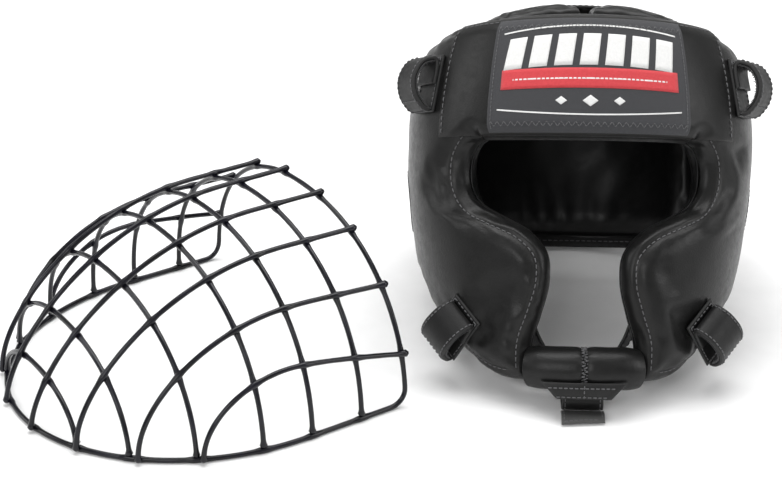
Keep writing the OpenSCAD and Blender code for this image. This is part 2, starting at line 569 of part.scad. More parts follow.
// Wires from rim to rim, under the long ones.
cross_wires = [34, 71, 105, 145, 179, 201];
module cage_cross_wires() color(wire_colour) on_table()
  for (x = cross_wires)
    let (w = rim_half_w(x), h = dome_h(x), foot = asin(pow((wire_d + 0.2) / h, arch_power / 2)),
         qs = [for (t = span(22)) mix(foot, 180 - foot, t)])
    wire([for (q = qs) let (p = superellipse(w, h, q)) [x, p[0], p[1]]],
         [for (q = qs) let (p = superellipse(w, h, q)) unit([0, p[0] / w, p[1] / h])]);

// ---------- Nodes ----------

brow_cover();
brow_foam();
brow_lining();
forehead_overlay();
label_patch();
side_cover_left();
side_foam_left();
side_lining_left();
ear_sleeve_left();
side_cover_right();
side_foam_right();
side_lining_right();
ear_sleeve_right();
chin_roll_left();
chin_roll_right();
chin_core_left();
chin_core_right();
chin_flap();
chin_strap_left();
chin_strap_right();
chin_strap_fold();
chin_tab();
back_cover();
back_foam();
back_lining();
back_binding();
back_pile_field();
gusset_left();
gusset_right();
crown_cover_left();
crown_foam_left();
crown_lining_left();
crown_cover_right();
crown_foam_right();
crown_lining_right();
crown_pile_tapes();
crown_strap_bases();
crown_strap_front();
crown_hook_front();
crown_strap_rear();
crown_hook_rear();
flap_base_left();
rear_flap_left();
rear_hook_left();
flap_base_right();
rear_flap_right();
rear_hook_right();
loop_base_upper_left();
loop_base_upper_right();
loop_base_lower_left();
loop_base_lower_right();
loop_upper_left();
loop_upper_right();
loop_lower_left();
loop_lower_right();
cage_rim();
cage_long_wires();
cage_cross_wires();
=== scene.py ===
import math
import bpy
import numpy as np
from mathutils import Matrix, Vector


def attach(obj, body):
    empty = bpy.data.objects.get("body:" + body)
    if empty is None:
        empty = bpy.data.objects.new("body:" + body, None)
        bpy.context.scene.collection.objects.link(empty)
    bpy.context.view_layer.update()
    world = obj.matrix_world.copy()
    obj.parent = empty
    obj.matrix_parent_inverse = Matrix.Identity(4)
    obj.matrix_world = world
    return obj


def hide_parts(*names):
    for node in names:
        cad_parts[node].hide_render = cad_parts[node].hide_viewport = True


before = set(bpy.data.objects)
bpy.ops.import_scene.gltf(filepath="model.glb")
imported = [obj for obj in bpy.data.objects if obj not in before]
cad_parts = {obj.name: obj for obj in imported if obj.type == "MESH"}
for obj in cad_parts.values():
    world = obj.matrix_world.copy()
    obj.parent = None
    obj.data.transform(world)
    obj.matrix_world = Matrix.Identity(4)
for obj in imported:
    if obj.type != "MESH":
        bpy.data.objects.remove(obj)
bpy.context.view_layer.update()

# Boxing headgear and its wire face cage.  Shapes are worked out in millimetres, in the CAD source's
# head frame or cage frame, and go to the row frame in metres as they become meshes.

# ---------- Sizes, as in the CAD source ----------

SHELL_HALF_W, SHELL_FRONT, SHELL_BACK = 116.5, 114, 138
PAD_T, NECK_PAD_T, LEATHER_T, LINING_T, STRAP_T, TAPE_T = 29, 25, 1.4, 1.1, 2.2, 1.1
WIDE_LEVEL, DEEP_LEVEL, BROW_Z, NAPE_Z, EYE_TOP_Z, NECK_Z = 165, 150, 244, 226, 161, 93
SHELL_POWER, SEAM_A, REAR_A, NECK_A, ARC_R = 2.2, 38, 118, 128, 105
FACE_PAD, BROW_PAD, NECK_PAD, CROWN_PAD = (14, PAD_T, 20), (14, PAD_T, 12), (8, NECK_PAD_T, 18), (6, 12, 9)
SEAM_T, FIT_GAP, LAYER_GAP = 2.8, 0.3, 0.5
STRAP_OUT = STRAP_T / 2 + 0.05          # where thread lies on a strap, out from its middle
HEAD_AT, LEAN = (131.5, -24.75, -26.9), math.radians(27)
CAGE_AT, CAGE_TURN = (-56.9, -4.75, 0), math.radians(36 + 180)
ROLL_R, ROLL_A = 14, 20.6
EAR_A, EAR_Z, EAR_R = 92, 122, 20
FLAP_Z, FLAP_H, NECK_FLANGE = 159, 52, 8
PILE_IN = -LAYER_GAP
HOOK_IN = PILE_IN - TAPE_T - LAYER_GAP
STRAP_IN = HOOK_IN - TAPE_T - LAYER_GAP
BASE_IN = STRAP_IN + STRAP_T + LAYER_GAP

FRONT_EDGE = [[21.5, 5], [21, 28], [17, 48], [13.8, 68], [14.5, 88], [22, 103], [34, 113], [42, 120],
              [46.5, 132], [46.5, 147], [43, 157.5], [39, 164], [38.6, 188], [38.6, 214], [38.6, 242]]
EYE_SHARE = 11 / 14      # how far up the front edge the eye opening ends
REAR_EDGE = [[106, 70], [113, 88], [117, 120], [118, 175], [118, 230.8]]
LOWER_EDGE = [[21.5, 5], [36, 7], [50, 17], [64, 32], [78, 48], [92, 60], [106, 70]]


# ---------- Small maths ----------

def mix(a, b, t):
    return a + (b - a) * t


def span(n):
    return np.linspace(0, 1, n + 1)


def unit(v):
    return v / np.maximum(np.linalg.norm(v, axis=-1, keepdims=True), 1e-12)


def sin_d(a):
    return np.sin(np.radians(a))


def cos_d(a):
    return np.cos(np.radians(a))


def curve(points, t):
    """A smooth curve through given points, with t from 0 to 1 (Catmull-Rom)."""
    p = np.asarray(points, float)
    n = len(p) - 1
    s = np.clip(t, 0, 1) * n
    i = np.minimum(np.floor(s).astype(int), n - 1)
    f = (s - i)[..., None]
    p0, p1, p2, p3 = p[np.maximum(i - 1, 0)], p[i], p[i + 1], p[np.minimum(i + 2, n)]
    return 0.5 * (2 * p1 + (p2 - p0) * f + (2 * p0 - 5 * p1 + 4 * p2 - p3) * f ** 2
                  + (3 * p1 - p0 - 3 * p2 + p3) * f ** 3)


def ripple(p, wavelength, seed, waves=7):
    """Smooth seeded noise from -1 to 1 at points in millimetres."""
    rng = np.random.default_rng(seed)
    total = 0
    for _ in range(waves):
        direction = unit(rng.normal(size=p.shape[-1]))
        length = wavelength * rng.uniform(0.7, 1.5)
        total = total + np.sin(p @ direction * 2 * math.pi / length + rng.uniform(0, 2 * math.pi))
    return total / waves ** 0.5 * 0.8


def bump_at(x, middle, width):
    return np.exp(-((x - middle) / width) ** 2)


def edged(n, length, reach=1.2):
    """Parameters from 0 to 1 with extra points close to both ends, for a rounded border."""
    near = np.array([0, 0.15, 0.4, 0.75, 1.0]) * reach / length
    return np.concatenate([near, np.linspace(near[-1], 1 - near[-1], n + 1)[1:-1], 1 - near[::-1]])


def crowded(n, share=0.55):
    """Parameters from 0 to 1 that crowd towards both ends."""
    t = span(n)
    return mix(t, 0.5 - 0.5 * np.cos(math.pi * t), share)


def resample(field, rows, cols):
    """A coarse grid's values at finer fractional rows and columns."""
    for axis, at in ((0, rows), (1, cols)):
        moved = np.moveaxis(field, axis, 0)
        finer = curve(moved.reshape(len(moved), -1), at)
        field = np.moveaxis(finer.reshape((len(at),) + moved.shape[1:]), 0, axis)
    return field


# ---------- The shell ----------

def half_w(z):
    return SHELL_HALF_W - np.where(z > WIDE_LEVEL, 17 * ((z - WIDE_LEVEL) / 75) ** 2,
                                   19 * ((WIDE_LEVEL - z) / 127) ** 2)


def front_d(z):
    return SHELL_FRONT - np.where(z > DEEP_LEVEL, 12 * ((z - DEEP_LEVEL) / 90) ** 2,
                                  6 * ((DEEP_LEVEL - z) / 150) ** 2)


def back_d(z):
    return SHELL_BACK - np.where(z > DEEP_LEVEL, 24 * ((z - DEEP_LEVEL) / 90) ** 2,
                                 10 * ((DEEP_LEVEL - z) / 57) ** 2)


def shell(a, z, depth=0.0):
    """A point of the head frame at an angle from the nose and a level, under the outside by depth."""
    a, z, depth = np.broadcast_arrays(np.asarray(a, float), np.asarray(z, float), np.asarray(depth, float))
    w = half_w(z) - depth
    d = np.where(cos_d(a) > 0, front_d(z), back_d(z)) - depth
    r = ((np.abs(sin_d(a)) / w) ** SHELL_POWER + (np.abs(cos_d(a)) / d) ** SHELL_POWER) ** (-1 / SHELL_POWER)
    return np.stack([r * sin_d(a), -r * cos_d(a), z], -1)


def facing(a, z):
    t = shell(a + 1, z) - shell(a - 1, z)
    return np.degrees(np.arctan2(t[..., 1], t[..., 0]))


def leaning(a, z):
    up, f = shell(a, z + 4) - shell(a, z - 4), facing(a, z)
    return np.degrees(np.arctan2(up[..., 0] * sin_d(f) - up[..., 1] * cos_d(f), up[..., 2]))


def top_z(a):
    return mix(NAPE_Z, BROW_Z, (1 + cos_d(a)) / 2)


def puff(d, r):
    """How full a pad is at a distance from its sewn edge: 0 to 1 over a rounded edge r wide."""
    return np.where(d <= 0, 0, np.sqrt(1 - (1 - np.clip(d / r, 0, 1)) ** 2))


def under_outside(pad, d):
    return pad[0] * (1 - puff(d, pad[2]))


def over_inside(pad, d):
    rim = pad[0] + SEAM_T
    return rim + (pad[1] - rim) * puff(d, pad[2])


def laid_flat(p):
    """Angle and level as millimetres along the shell and up it."""
    return p * np.array([ARC_R * math.pi / 180, 1])


def distance_to(p, line):
    """Distance from flat points to a polyline."""
    best = np.full(p.shape[:-1], 1e9)
    for a, b in zip(line[:-1], line[1:]):
        ab = b - a
        t = np.clip(((p - a) @ ab) / max(ab @ ab, 1e-12), 0, 1)
        best = np.minimum(best, np.linalg.norm(p - a - t[..., None] * ab, axis=-1))
    return best


# ---------- From points to pieces ----------

def from_head(p):
    """Head frame in millimetres to row frame in metres."""
    c, s = math.cos(LEAN), math.sin(LEAN)
    x, y, z = np.moveaxis(np.asarray(p, float), -1, 0)
    return np.stack([HEAD_AT[0] + x, HEAD_AT[1] + y * c + z * s, HEAD_AT[2] - y * s + z * c], -1) / 1000


def from_cage(p):
    c, s = math.cos(CAGE_TURN), math.sin(CAGE_TURN)
    x, y, z = np.moveaxis(np.asarray(p, float), -1, 0)
    return np.stack([CAGE_AT[0] + x * c - y * s, CAGE_AT[1] + x * s + y * c, CAGE_AT[2] + z], -1) / 1000


def mirrored(p, side):
    return p * np.array([side, 1, 1])


def grid_quads(rows, cols, closed=False):
    """Quads of a grid of points; closed joins the last column to the first."""
    i = np.arange(rows * cols).reshape(rows, cols)
    j = np.roll(i, -1, axis=1) if closed else i[:, 1:]
    i = i if closed else i[:, :-1]
    return np.stack([i[:-1], j[:-1], j[1:], i[1:]], -1).reshape(-1, 4)


def capped_tube(rows, cols):
    """Faces of rings of points, closed at both ends by two more points."""
    n, i = rows * cols, np.arange(cols)
    start = np.stack([np.full(cols, n), np.roll(i, -1), i], -1)
    end = np.stack([np.full(cols, n + 1), n - cols + i, n - cols + np.roll(i, -1)], -1)
    return grid_quads(rows, cols, closed=True).tolist() + start.tolist() + end.tolist()


def two_sheets(quads, n):
    """Closes an open sheet of quads against its copy n points later, with walls along every border."""
    edges = np.concatenate([quads[:, [k, (k + 1) % 4]] for k in range(4)])
    there, back = edges[:, 0] * 2 * n + edges[:, 1], edges[:, 1] * 2 * n + edges[:, 0]
    rim = edges[~np.isin(there, back)]
    walls = np.stack([rim[:, 1], rim[:, 0], rim[:, 0] + n, rim[:, 1] + n], -1)
    return np.concatenate([quads, quads[:, ::-1] + n, walls])


def turn_outward(mesh):
    """Flips the faces of a closed mesh if they face inward."""
    mesh.calc_loop_triangles()
    corners = np.zeros(3 * len(mesh.loop_triangles), np.int32)
    points = np.zeros(3 * len(mesh.vertices), np.float32)
    mesh.loop_triangles.foreach_get("vertices", corners)
    mesh.vertices.foreach_get("co", points)
    a, b, c = np.moveaxis(points.reshape(-1, 3)[corners.reshape(-1, 3)].astype(float), 1, 0)
    if (a * np.cross(b, c)).sum() < 0:
        mesh.flip_normals()


def new_mesh(name, points, faces, attributes=()):
    """A smooth-shaded mesh object without loose points; attributes are named values at the points."""
    used = np.unique(np.concatenate([np.ravel(f) for f in faces]))
    place = np.zeros(len(points), int)
    place[used] = np.arange(len(used))
    mesh = bpy.data.meshes.new(name)
    mesh.from_pydata(points[used].tolist(), [], [place[np.asarray(f)].tolist() for f in faces])
    for key, values in dict(attributes).items():
        stored = mesh.attributes.new(key, "FLOAT", "POINT")
        stored.data.foreach_set("value", np.ravel(values)[used].astype(np.float32))
    mesh.polygons.foreach_set("use_smooth", np.ones(len(mesh.polygons), bool))
    mesh.validate()
    turn_outward(mesh)
    made = bpy.data.objects.new(name, mesh)
    bpy.context.scene.collection.objects.link(made)
    return made


def add(obj, material, body, slot, *nodes):
    """Gives a piece its material and its CAD body, and hides the CAD nodes that it stands for; slot is not used.
    """
    obj.data.materials.append(material)
    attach(obj, body)
    if nodes:
        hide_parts(*nodes)
    return obj


def sheets_piece(name, outer, inner, side=1, keep=None, attributes=(), place=from_head):
    """A closed piece between two grids of points, its outer grid facing outward on side 1."""
    rows, cols = outer.shape[:2]
    quads = grid_quads(rows, cols)
    if keep is not None:
        quads = quads[keep.ravel()]
    faces = two_sheets(quads, rows * cols)
    points = place(mirrored(np.concatenate([outer.reshape(-1, 3), inner.reshape(-1, 3)]), side))
    doubled = {k: np.concatenate([v.ravel(), v.ravel()]) for k, v in dict(attributes).items()}
    return new_mesh(name, points, faces, doubled)


def thin_piece(name, at, us, vs, size, t, side=1, place=from_head):
    """A strap or sheet with rounded borders: at(u, v, off) is its surface, off outward from its middle."""
    u, v = np.meshgrid(us, vs)
    to_border = np.minimum(np.minimum(u, 1 - u) * size[0], np.minimum(v, 1 - v) * size[1])
    half = t / 2 * (0.2 + 0.8 * puff(to_border, t / 2))
    wear = np.exp(-to_border / 1.5)
    weave = {"along": u * size[0], "across": v * size[1], "wear": wear}
    return sheets_piece(name, at(u, v, half), at(u, v, -half), side, attributes=weave, place=place)


def flat_size(at):
    """Width and length in metres of a strap or sheet along its middle lines."""
    t, mid = span(60), np.full(61, 0.5)
    across, along = at(mid, t, 0 * t), at(t, mid, 0 * t)
    return tuple(float(np.linalg.norm(np.diff(line, axis=0), axis=1).sum()) / 1000
                 for line in (across, along))


# ---------- Stitches ----------

def stitch_mesh(points, normals, pitch, length, radius):
    """Thread stitches along a line: points and faces, in millimetres."""
    steps = np.concatenate([[0], np.cumsum(np.linalg.norm(np.diff(points, axis=0), axis=1))])
    starts = np.arange(0, steps[-1] - length + 1e-6, pitch)
    along = np.array([0, 0.12, 0.5, 0.88, 1])
    swell = np.array([0.35, 0.9, 1, 0.9, 0.35])[None, :, None, None]
    lift = np.array([-0.6, 0.25, 0.6, 0.25, -0.6])[None, :, None] * radius
    s = starts[:, None] + along * length
    centre = np.stack([np.interp(s, steps, points[:, k]) for k in range(3)], -1)
    up = unit(np.stack([np.interp(s, steps, normals[:, k]) for k in range(3)], -1))
    tangent = unit(centre[:, -1] - centre[:, 0])[:, None]
    beside = unit(np.cross(up, tangent))
    turn = np.radians(np.arange(0, 360, 60))[None, None, :, None]
    ring = (centre + up * lift)[:, :, None] + radius * swell * (
        np.cos(turn) * beside[:, :, None] + np.sin(turn) * up[:, :, None])
    per, sides = ring.shape[1] * ring.shape[2], ring.shape[2]
    one = grid_quads(ring.shape[1], sides, closed=True)
    caps = np.array([[5, 4, 3, 2], [5, 2, 1, 0]])
    last = per - sides
    caps = np.concatenate([caps, caps[:, ::-1] + last])
    faces = np.concatenate([one, caps])
    return ring.reshape(-1, 3), (faces[None] + per * np.arange(len(starts))[:, None, None]).reshape(-1, 4)


def sew(name, lines, body="headgear", slot="leather", side=1, pitch=4.2, length=3.1, radius=0.42,
        place=from_head):
    """Adds one piece of thread from several lines, each a pair of points and normals."""
    points, faces, n = [], [], 0
    for line, normals in lines:
        p, f = stitch_mesh(line, normals, pitch, length, radius)
        points.append(p)
        faces.append(f + n)
        n += len(p)
    made = new_mesh(name, place(mirrored(np.concatenate(points), side)), np.concatenate(faces))
    return add(made, THREAD, body, slot)


def line_on(at, u, v, off, lift=0.5):
    """A line on a surface at(u, v, off), with its normals."""
    p = at(u, v, off + 0 * u)
    return p, unit(at(u, v, off + lift + 0 * u) - p)


def border_lines(at, size, inset, off=STRAP_OUT, sides="uv"):
    """Stitch lines inset from a sheet's borders: u0, u1 are its ends and v0, v1 its long sides."""
    iu, iv, t = inset / size[0], inset / size[1], span(80)
    rows = {"v0": (mix(iu, 1 - iu, t), iv + 0 * t), "v1": (mix(iu, 1 - iu, t), 1 - iv + 0 * t),
            "u0": (iu + 0 * t, mix(iv, 1 - iv, t)), "u1": (1 - iu + 0 * t, mix(iv, 1 - iv, t))}
    wanted = rows if sides == "uv" else sides.split()
    return [line_on(at, *rows[k], off) for k in wanted]


def cross_lines(at, places, low, high, off=STRAP_OUT, n=30):
    """Stitch lines across a strap at several places along it."""
    return [line_on(at, u + 0 * span(n), mix(low, high, span(n)), off) for u in places]


def sewn_strap(stem, tail, at, size, cells, lines, body, *nodes, t=STRAP_T, side=1, material=None,
               slot="strap_leather", place=from_head, **thread):
    """A leather strap and its stitching, named by a stem and a tail."""
    grid = [edged(n, length) for n, length in zip(cells, size)]
    piece = thin_piece(stem + tail, at, *grid, size, t, side, place)
    strap = add(piece, material or STRAP, body, slot, *nodes)
    sew(f"{stem}_stitches{tail}", lines, body, slot, side, place=place, **thread)
    return strap


# ---------- Materials ----------

def node_tree(name):
    m = bpy.data.materials.new(name)
    m.use_nodes = True
    return m, m.node_tree, m.node_tree.nodes["Principled BSDF"]


def texture(tree, kind, scale, coords="Object", **values):
    """A procedural texture node on object coordinates."""
    node = tree.nodes.new(kind)
    where = tree.nodes.new("ShaderNodeTexCoord")
    tree.links.new(where.outputs[coords], node.inputs["Vector"])
    node.inputs["Scale"].default_value = scale
    for key, value in values.items():
        node.inputs[key].default_value = value
    return node


def ramp(tree, source, low, high, start=0.3, end=0.7):
    """A value turned into a range of grey or colour."""
    node = tree.nodes.new("ShaderNodeValToRGB")
    for e, position, colour in zip(node.color_ramp.elements, (start, end), (low, high)):
        e.position = position
        e.color = (*colour, 1)
    tree.links.new(source, node.inputs["Fac"])
    return node.outputs["Color"]


def ranged(tree, source, low, high, start=0.0, end=1.0):
    node = tree.nodes.new("ShaderNodeMapRange")
    for key, value in zip(("From Min", "From Max", "To Min", "To Max"), (start, end, low, high)):
        node.inputs[key].default_value = value
    tree.links.new(source, node.inputs["Value"])
    return node.outputs["Result"]


def maths(tree, operation, a, b=None):
    node = tree.nodes.new("ShaderNodeMath")
    node.operation = operation
    for socket, value in zip(node.inputs, (a, b)):
        if isinstance(value, (int, float)):
            socket.default_value = value
        elif value is not None:
            tree.links.new(value, socket)
    return node.outputs["Value"]


def mixed(tree, share, a, b):
    """Colour a where share is 0, b where it is 1."""
    node = tree.nodes.new("ShaderNodeMix")
    node.data_type = "RGBA"
    tree.links.new(share, node.inputs["Factor"])
    for socket, value in ((node.inputs[6], a), (node.inputs[7], b)):
        if isinstance(value, tuple):
            socket.default_value = (*value, 1)
        else:
            tree.links.new(value, socket)
    return node.outputs[2]


def bump(tree, shader, layers):
    """Stacks bumps onto the shader: each layer is a height, its depth in metres and its strength."""
    normal = None
    for height, depth, strength in layers:
        node = tree.nodes.new("ShaderNodeBump")
        node.inputs["Distance"].default_value = depth
        node.inputs["Strength"].default_value = strength
        tree.links.new(height, node.inputs["Height"])
        if normal is not None:
            tree.links.new(normal, node.inputs["Normal"])
        normal = node.outputs["Normal"]
    tree.links.new(normal, shader.inputs["Normal"])


def attribute(tree, name):
    node = tree.nodes.new("ShaderNodeAttribute")
    node.attribute_name = name
    return node.outputs["Fac"]


def grey(value, blue=None):
    """A grey, with its blue a little off if given."""
    return value, value, value if blue is None else blue


def surface(tree, shader, colour, gloss, specular=None):
    """Links a shader's colour and roughness, and sets its specular level."""
    tree.links.new(colour, shader.inputs["Base Color"])
    tree.links.new(gloss, shader.inputs["Roughness"])
    if specular is not None:
        shader.inputs["Specular IOR Level"].default_value = specular


def leather(name, dark, light, rough, grain=900, depth=0.00012, worn=(0.035, 0.034, 0.033), specular=0.25):
    """Drum-dyed leather: pebbled grain, cloudy colour, fine creases and paler worn borders."""
    m, tree, shader = node_tree(name)
    cloud = texture(tree, "ShaderNodeTexNoise", 26, Detail=5, Roughness=0.6)
    pebble = texture(tree, "ShaderNodeTexVoronoi", grain)
    crease = texture(tree, "ShaderNodeTexNoise", 210, Detail=4, Roughness=0.65, Distortion=0.6)
    colour = ramp(tree, cloud.outputs["Fac"], dark, light)
    colour = mixed(tree, maths(tree, "MULTIPLY", attribute(tree, "wear"), 0.35), colour, worn)
    gloss = ranged(tree, crease.outputs["Fac"], rough - 0.06, rough + 0.09, 0.3, 0.7)
    surface(tree, shader, colour, gloss, specular)
    bump(tree, shader, [(crease.outputs["Fac"], depth * 2, 0.35), (pebble.outputs["Distance"], depth, 0.4)])
    return m


def woven(name, colour, pale, pitch, sheen, rough=0.8):
    """Woven tape or label: warp and weft follow the piece's own directions."""
    m, tree, shader = node_tree(name)
    turns = 2 * math.pi / pitch
    warp = maths(tree, "SINE", maths(tree, "MULTIPLY", attribute(tree, "along"), turns))
    weft = maths(tree, "SINE", maths(tree, "MULTIPLY", attribute(tree, "across"), turns))
    weave = maths(tree, "MULTIPLY", warp, weft)
    fleck = texture(tree, "ShaderNodeTexNoise", 700, Detail=3)
    share = maths(tree, "MULTIPLY", ranged(tree, weave, 0.25, 1, -1, 1), fleck.outputs["Fac"])
    gloss = ranged(tree, fleck.outputs["Fac"], rough - 0.1, rough + 0.1)
    surface(tree, shader, mixed(tree, share, colour, pale), gloss)
    shader.inputs["Sheen Weight"].default_value = sheen
    shader.inputs["Sheen Roughness"].default_value = 0.5
    bump(tree, shader, [(weave, 0.00012, 0.5), (fleck.outputs["Fac"], 0.0001, 0.3)])
    return m


def thread(name, dark, light):
    """Twisted sewing thread."""
    m, tree, shader = node_tree(name)
    twist = texture(tree, "ShaderNodeTexWave", 900, Distortion=2.0)
    twisted = twist.outputs["Fac"]
    surface(tree, shader, ramp(tree, twisted, dark, light), ranged(tree, twisted, 0.5, 0.7))
    bump(tree, shader, [(twisted, 0.0001, 0.5)])
    return m


def dipped_wire(name):
    """Steel wire under a thick dip of black vinyl: glossy, a little blue, with slow ripples."""
    m, tree, shader = node_tree(name)
    slow = texture(tree, "ShaderNodeTexNoise", 60, Detail=3).outputs["Fac"]
    fine = texture(tree, "ShaderNodeTexNoise", 900, Detail=2).outputs["Fac"]
    colour = ramp(tree, slow, (0.003, 0.003, 0.0035), (0.007, 0.0068, 0.013))
    surface(tree, shader, colour, ranged(tree, slow, 0.15, 0.26, 0.3, 0.7), 0.25)
    shader.inputs["Coat Weight"].default_value = 0.15
    shader.inputs["Coat Roughness"].default_value = 0.12
    bump(tree, shader, [(slow, 0.0006, 0.25), (fine, 0.00005, 0.3)])
    return m


def floor_paper(name):
    m, tree, shader = node_tree(name)
    fibre = texture(tree, "ShaderNodeTexNoise", 40, Detail=4).outputs["Fac"]
    surface(tree, shader, ramp(tree, fibre, grey(0.86), grey(0.9)), ranged(tree, fibre, 0.7, 0.85))
    bump(tree, shader, [(fibre, 0.0002, 0.1)])
    return m


COVER = leather("cover_leather", grey(0.005), grey(0.009, 0.0088), 0.35)
LINING = leather("lining_leather", grey(0.0035, 0.0036), grey(0.006, 0.0061), 0.36, 1300, 0.00008)
STRAP = leather("strap_leather", grey(0.006, 0.0062), grey(0.013), 0.46, 1100, worn=grey(0.05))
TAB = leather("tab_leather", grey(0.028), grey(0.05, 0.049), 0.55, 1100, worn=grey(0.12))
LABEL = woven("label_cloth", (0.020, 0.0205, 0.023), (0.055, 0.056, 0.062), 0.55, 0.1)
LABEL_RED = woven("label_red", (0.52, 0.025, 0.035), (0.75, 0.08, 0.09), 0.55, 0.1)
LABEL_WHITE = woven("label_white", (0.68, 0.68, 0.67), (0.9, 0.9, 0.89), 0.55, 0.1)
TAPE = woven("tape_weave", grey(0.010, 0.011), grey(0.024, 0.026), 0.8, 0.3, 0.9)
PILE = thread("pile_fibre", grey(0.012, 0.013), grey(0.03, 0.032))
THREAD = thread("sewing_thread", grey(0.05, 0.052), grey(0.14, 0.145))
WIRE = dipped_wire("wire_coating")


# ---------- Pads ----------

STITCH_IN = 6.5          # how far in from a pad's edge its top stitching runs
GROOVE = 0.9             # how deep the stitching pulls the leather in
STITCH_LIFT = 0.2        # thread above the leather


def groove(d):
    """The stitch line's dent and the soft valley beside it."""
    return GROOVE * bump_at(d, STITCH_IN, 1.3) + 0.35 * bump_at(d, STITCH_IN, 4)


def pinch(p, d, seed, strength):
    """Little gathers across a sewn edge, which die out over the pad."""
    return strength * ripple(p, 13, seed) * np.exp(-((d - STITCH_IN) / 7) ** 2)


def slack(outer, inner, seed, pressure=4.0, spare=0.05, cap=3.0):
    """Cloth simulation of a closed leather cover that is held along its sewn rim.  It is cut a little
    larger than its foam and blown up by pressure.  Returns how far, in millimetres, the outer and the
    inner grid's points moved off the foam."""
    rows, cols = outer.shape[:2]
    rest = np.concatenate([outer.reshape(-1, 3), inner.reshape(-1, 3)])
    rest = rest + 0.12 * np.random.default_rng(seed).normal(size=rest.shape)
    blown = new_mesh("cover_in_simulation", rest / 1000, two_sheets(grid_quads(rows, cols), rows * cols))
    on_rim = np.ones((rows, cols), bool)
    on_rim[1:-1, 1:-1] = False
    rim = np.flatnonzero(np.concatenate([on_rim.ravel(), on_rim.ravel()])).tolist()
    blown.vertex_groups.new(name="sewn").add(rim, 1, "REPLACE")
    cloth = blown.modifiers.new("cloth", "CLOTH")
    cloth.settings.quality = 6
    cloth.settings.vertex_group_mass = "sewn"
    cloth.settings.use_pressure = True
    cloth.settings.uniform_pressure_force = pressure
    cloth.settings.shrink_min = -spare
    cloth.settings.tension_stiffness = cloth.settings.compression_stiffness = 40
    cloth.settings.bending_stiffness = 3
    cloth.settings.effector_weights.gravity = 0
    cloth.point_cache.frame_end = 20
    for number in range(1, 21):
        bpy.context.scene.frame_set(number)
    held = blown.evaluated_get(bpy.context.evaluated_depsgraph_get())
    after = np.zeros(len(rest) * 3, np.float32)
    held.data.vertices.foreach_get("co", after)
    moved = after.reshape(-1, 3) * 1000 - rest
    bpy.context.scene.frame_set(1)
    bpy.data.objects.remove(blown)
    moved = moved.reshape(2, rows, cols, 3)
    fields = [(moved[0] * grid_normals(outer)).sum(-1), (moved[1] * -grid_normals(inner)).sum(-1)]
    return [cap * np.tanh(f / cap) for f in fields]


def grid_normals(grid):
    """Unit normals of a grid of points, across its rows and columns."""
    return unit(np.cross(np.gradient(grid, axis=1), np.gradient(grid, axis=0)))


def pad_pieces(pad, place, edge, surface, us, vs, seed, creases=None, blow=1.0):
    """Outer and inner grids of a pad's cover and lining.  place gives each point's place on the
    surface, edge its distance from the sewn edge; creases adds folds to the lining."""
    def grids(u, v, swell_out, swell_in):
        p = place(u, v)
        d = edge(p, u, v)
        at = surface(p, 0 * d)
        full = puff(d, pad[2])
        loose = 1 - bump_at(d, STITCH_IN, 2.5)
        relief = 0.35 * full * ripple(at, 42, seed) + pinch(at, d, seed + 1, 0.8)
        out = under_outside(pad, d) + groove(d) * full - loose * (relief + swell_out)
        fold = creases(p, d) if creases else 0
        lining = over_inside(pad, d) + swell_in * 0.8 + 0.5 * full * ripple(at, 30, seed + 2) - fold
        return p, d, out, lining

    coarse_u, coarse_v = us[::4], vs[::4]
    u, v = np.meshgrid(coarse_u, coarse_v)
    p, d, _, _ = grids(u, v, 0, 0)
    swell = slack(surface(p, under_outside(pad, d)), surface(p, over_inside(pad, d)), seed)
    at_u = np.interp(us, coarse_u, span(len(coarse_u) - 1))
    at_v = np.interp(vs, coarse_v, span(len(coarse_v) - 1))
    swell = [blow * resample(f, at_v, at_u) for f in swell]
    u, v = np.meshgrid(us, vs)
    p, d, out, lining = grids(u, v, *swell)
    wear = 0.5 * np.exp(-((d - STITCH_IN) / 3) ** 2)
    return {"p": p, "d": d, "out": out, "lining": lining, "wear": wear}


def make_pad(stem, tail, pad, place, edge, surface, us, vs, seed, side=1, hole=None, **more):
    """A pad as two pieces: its leather cover, which stands for its foam too, and its lining."""
    g = pad_pieces(pad, place, edge, surface, us, vs, seed, **more)
    p = g["p"]
    cover = [surface(p, g["out"]), surface(p, g["out"] + LEATHER_T)]
    lining = [surface(p, g["lining"] - LINING_T), surface(p, g["lining"])]
    keep = hole(cover + lining) if hole else None
    parts = (("leather", cover, COVER, "leather", ("cover", "foam")),
             ("inner", lining, LINING, "lining", ("lining",)))
    for word, grids, material, slot, layers in parts:
        obj = sheets_piece(f"{stem}_{word}{tail}", *grids, side, keep, {"wear": g["wear"]})
        add(obj, material, "headgear", slot, *[f"{stem}_{layer}{tail}" for layer in layers])


def shell_at(p, depth):
    return shell(p[..., 0], p[..., 1], depth)


def zigzag(low, high, corners, swing):
    """Points along a run and how far a zigzag swings beside it, 8 to each leg."""
    corner, fine = np.arange(corners), np.linspace(0, corners - 1, corners * 8)
    beside = np.where(corner % 2 == 0, swing, -swing)
    return np.interp(fine, corner, np.linspace(low, high, corners)), np.interp(fine, corner, beside)


def stitch_on(at, p, lift):
    """Points and normals of a stitch line on a padded surface: at(p, lift), p as angle and level."""
    step_a, step_z = np.array([0.4, 0]), np.array([0, 0.6])
    across = at(p + step_a, 0) - at(p - step_a, 0)
    up = at(p + step_z, 0) - at(p - step_z, 0)
    return at(p, lift), unit(np.cross(across, up))


# Brow pad.

def brow_place(u, v):
    a = mix(-SEAM_A, SEAM_A, u)
    return np.stack([a, mix(EYE_TOP_Z, top_z(a), v)], -1)


def brow_edge(p, u, v):
    w, h = 2 * SEAM_A * ARC_R * math.pi / 180, BROW_Z - EYE_TOP_Z
    return np.minimum(np.minimum(u, 1 - u) * w, np.minimum(v, 1 - v) * h)


# Side pads.

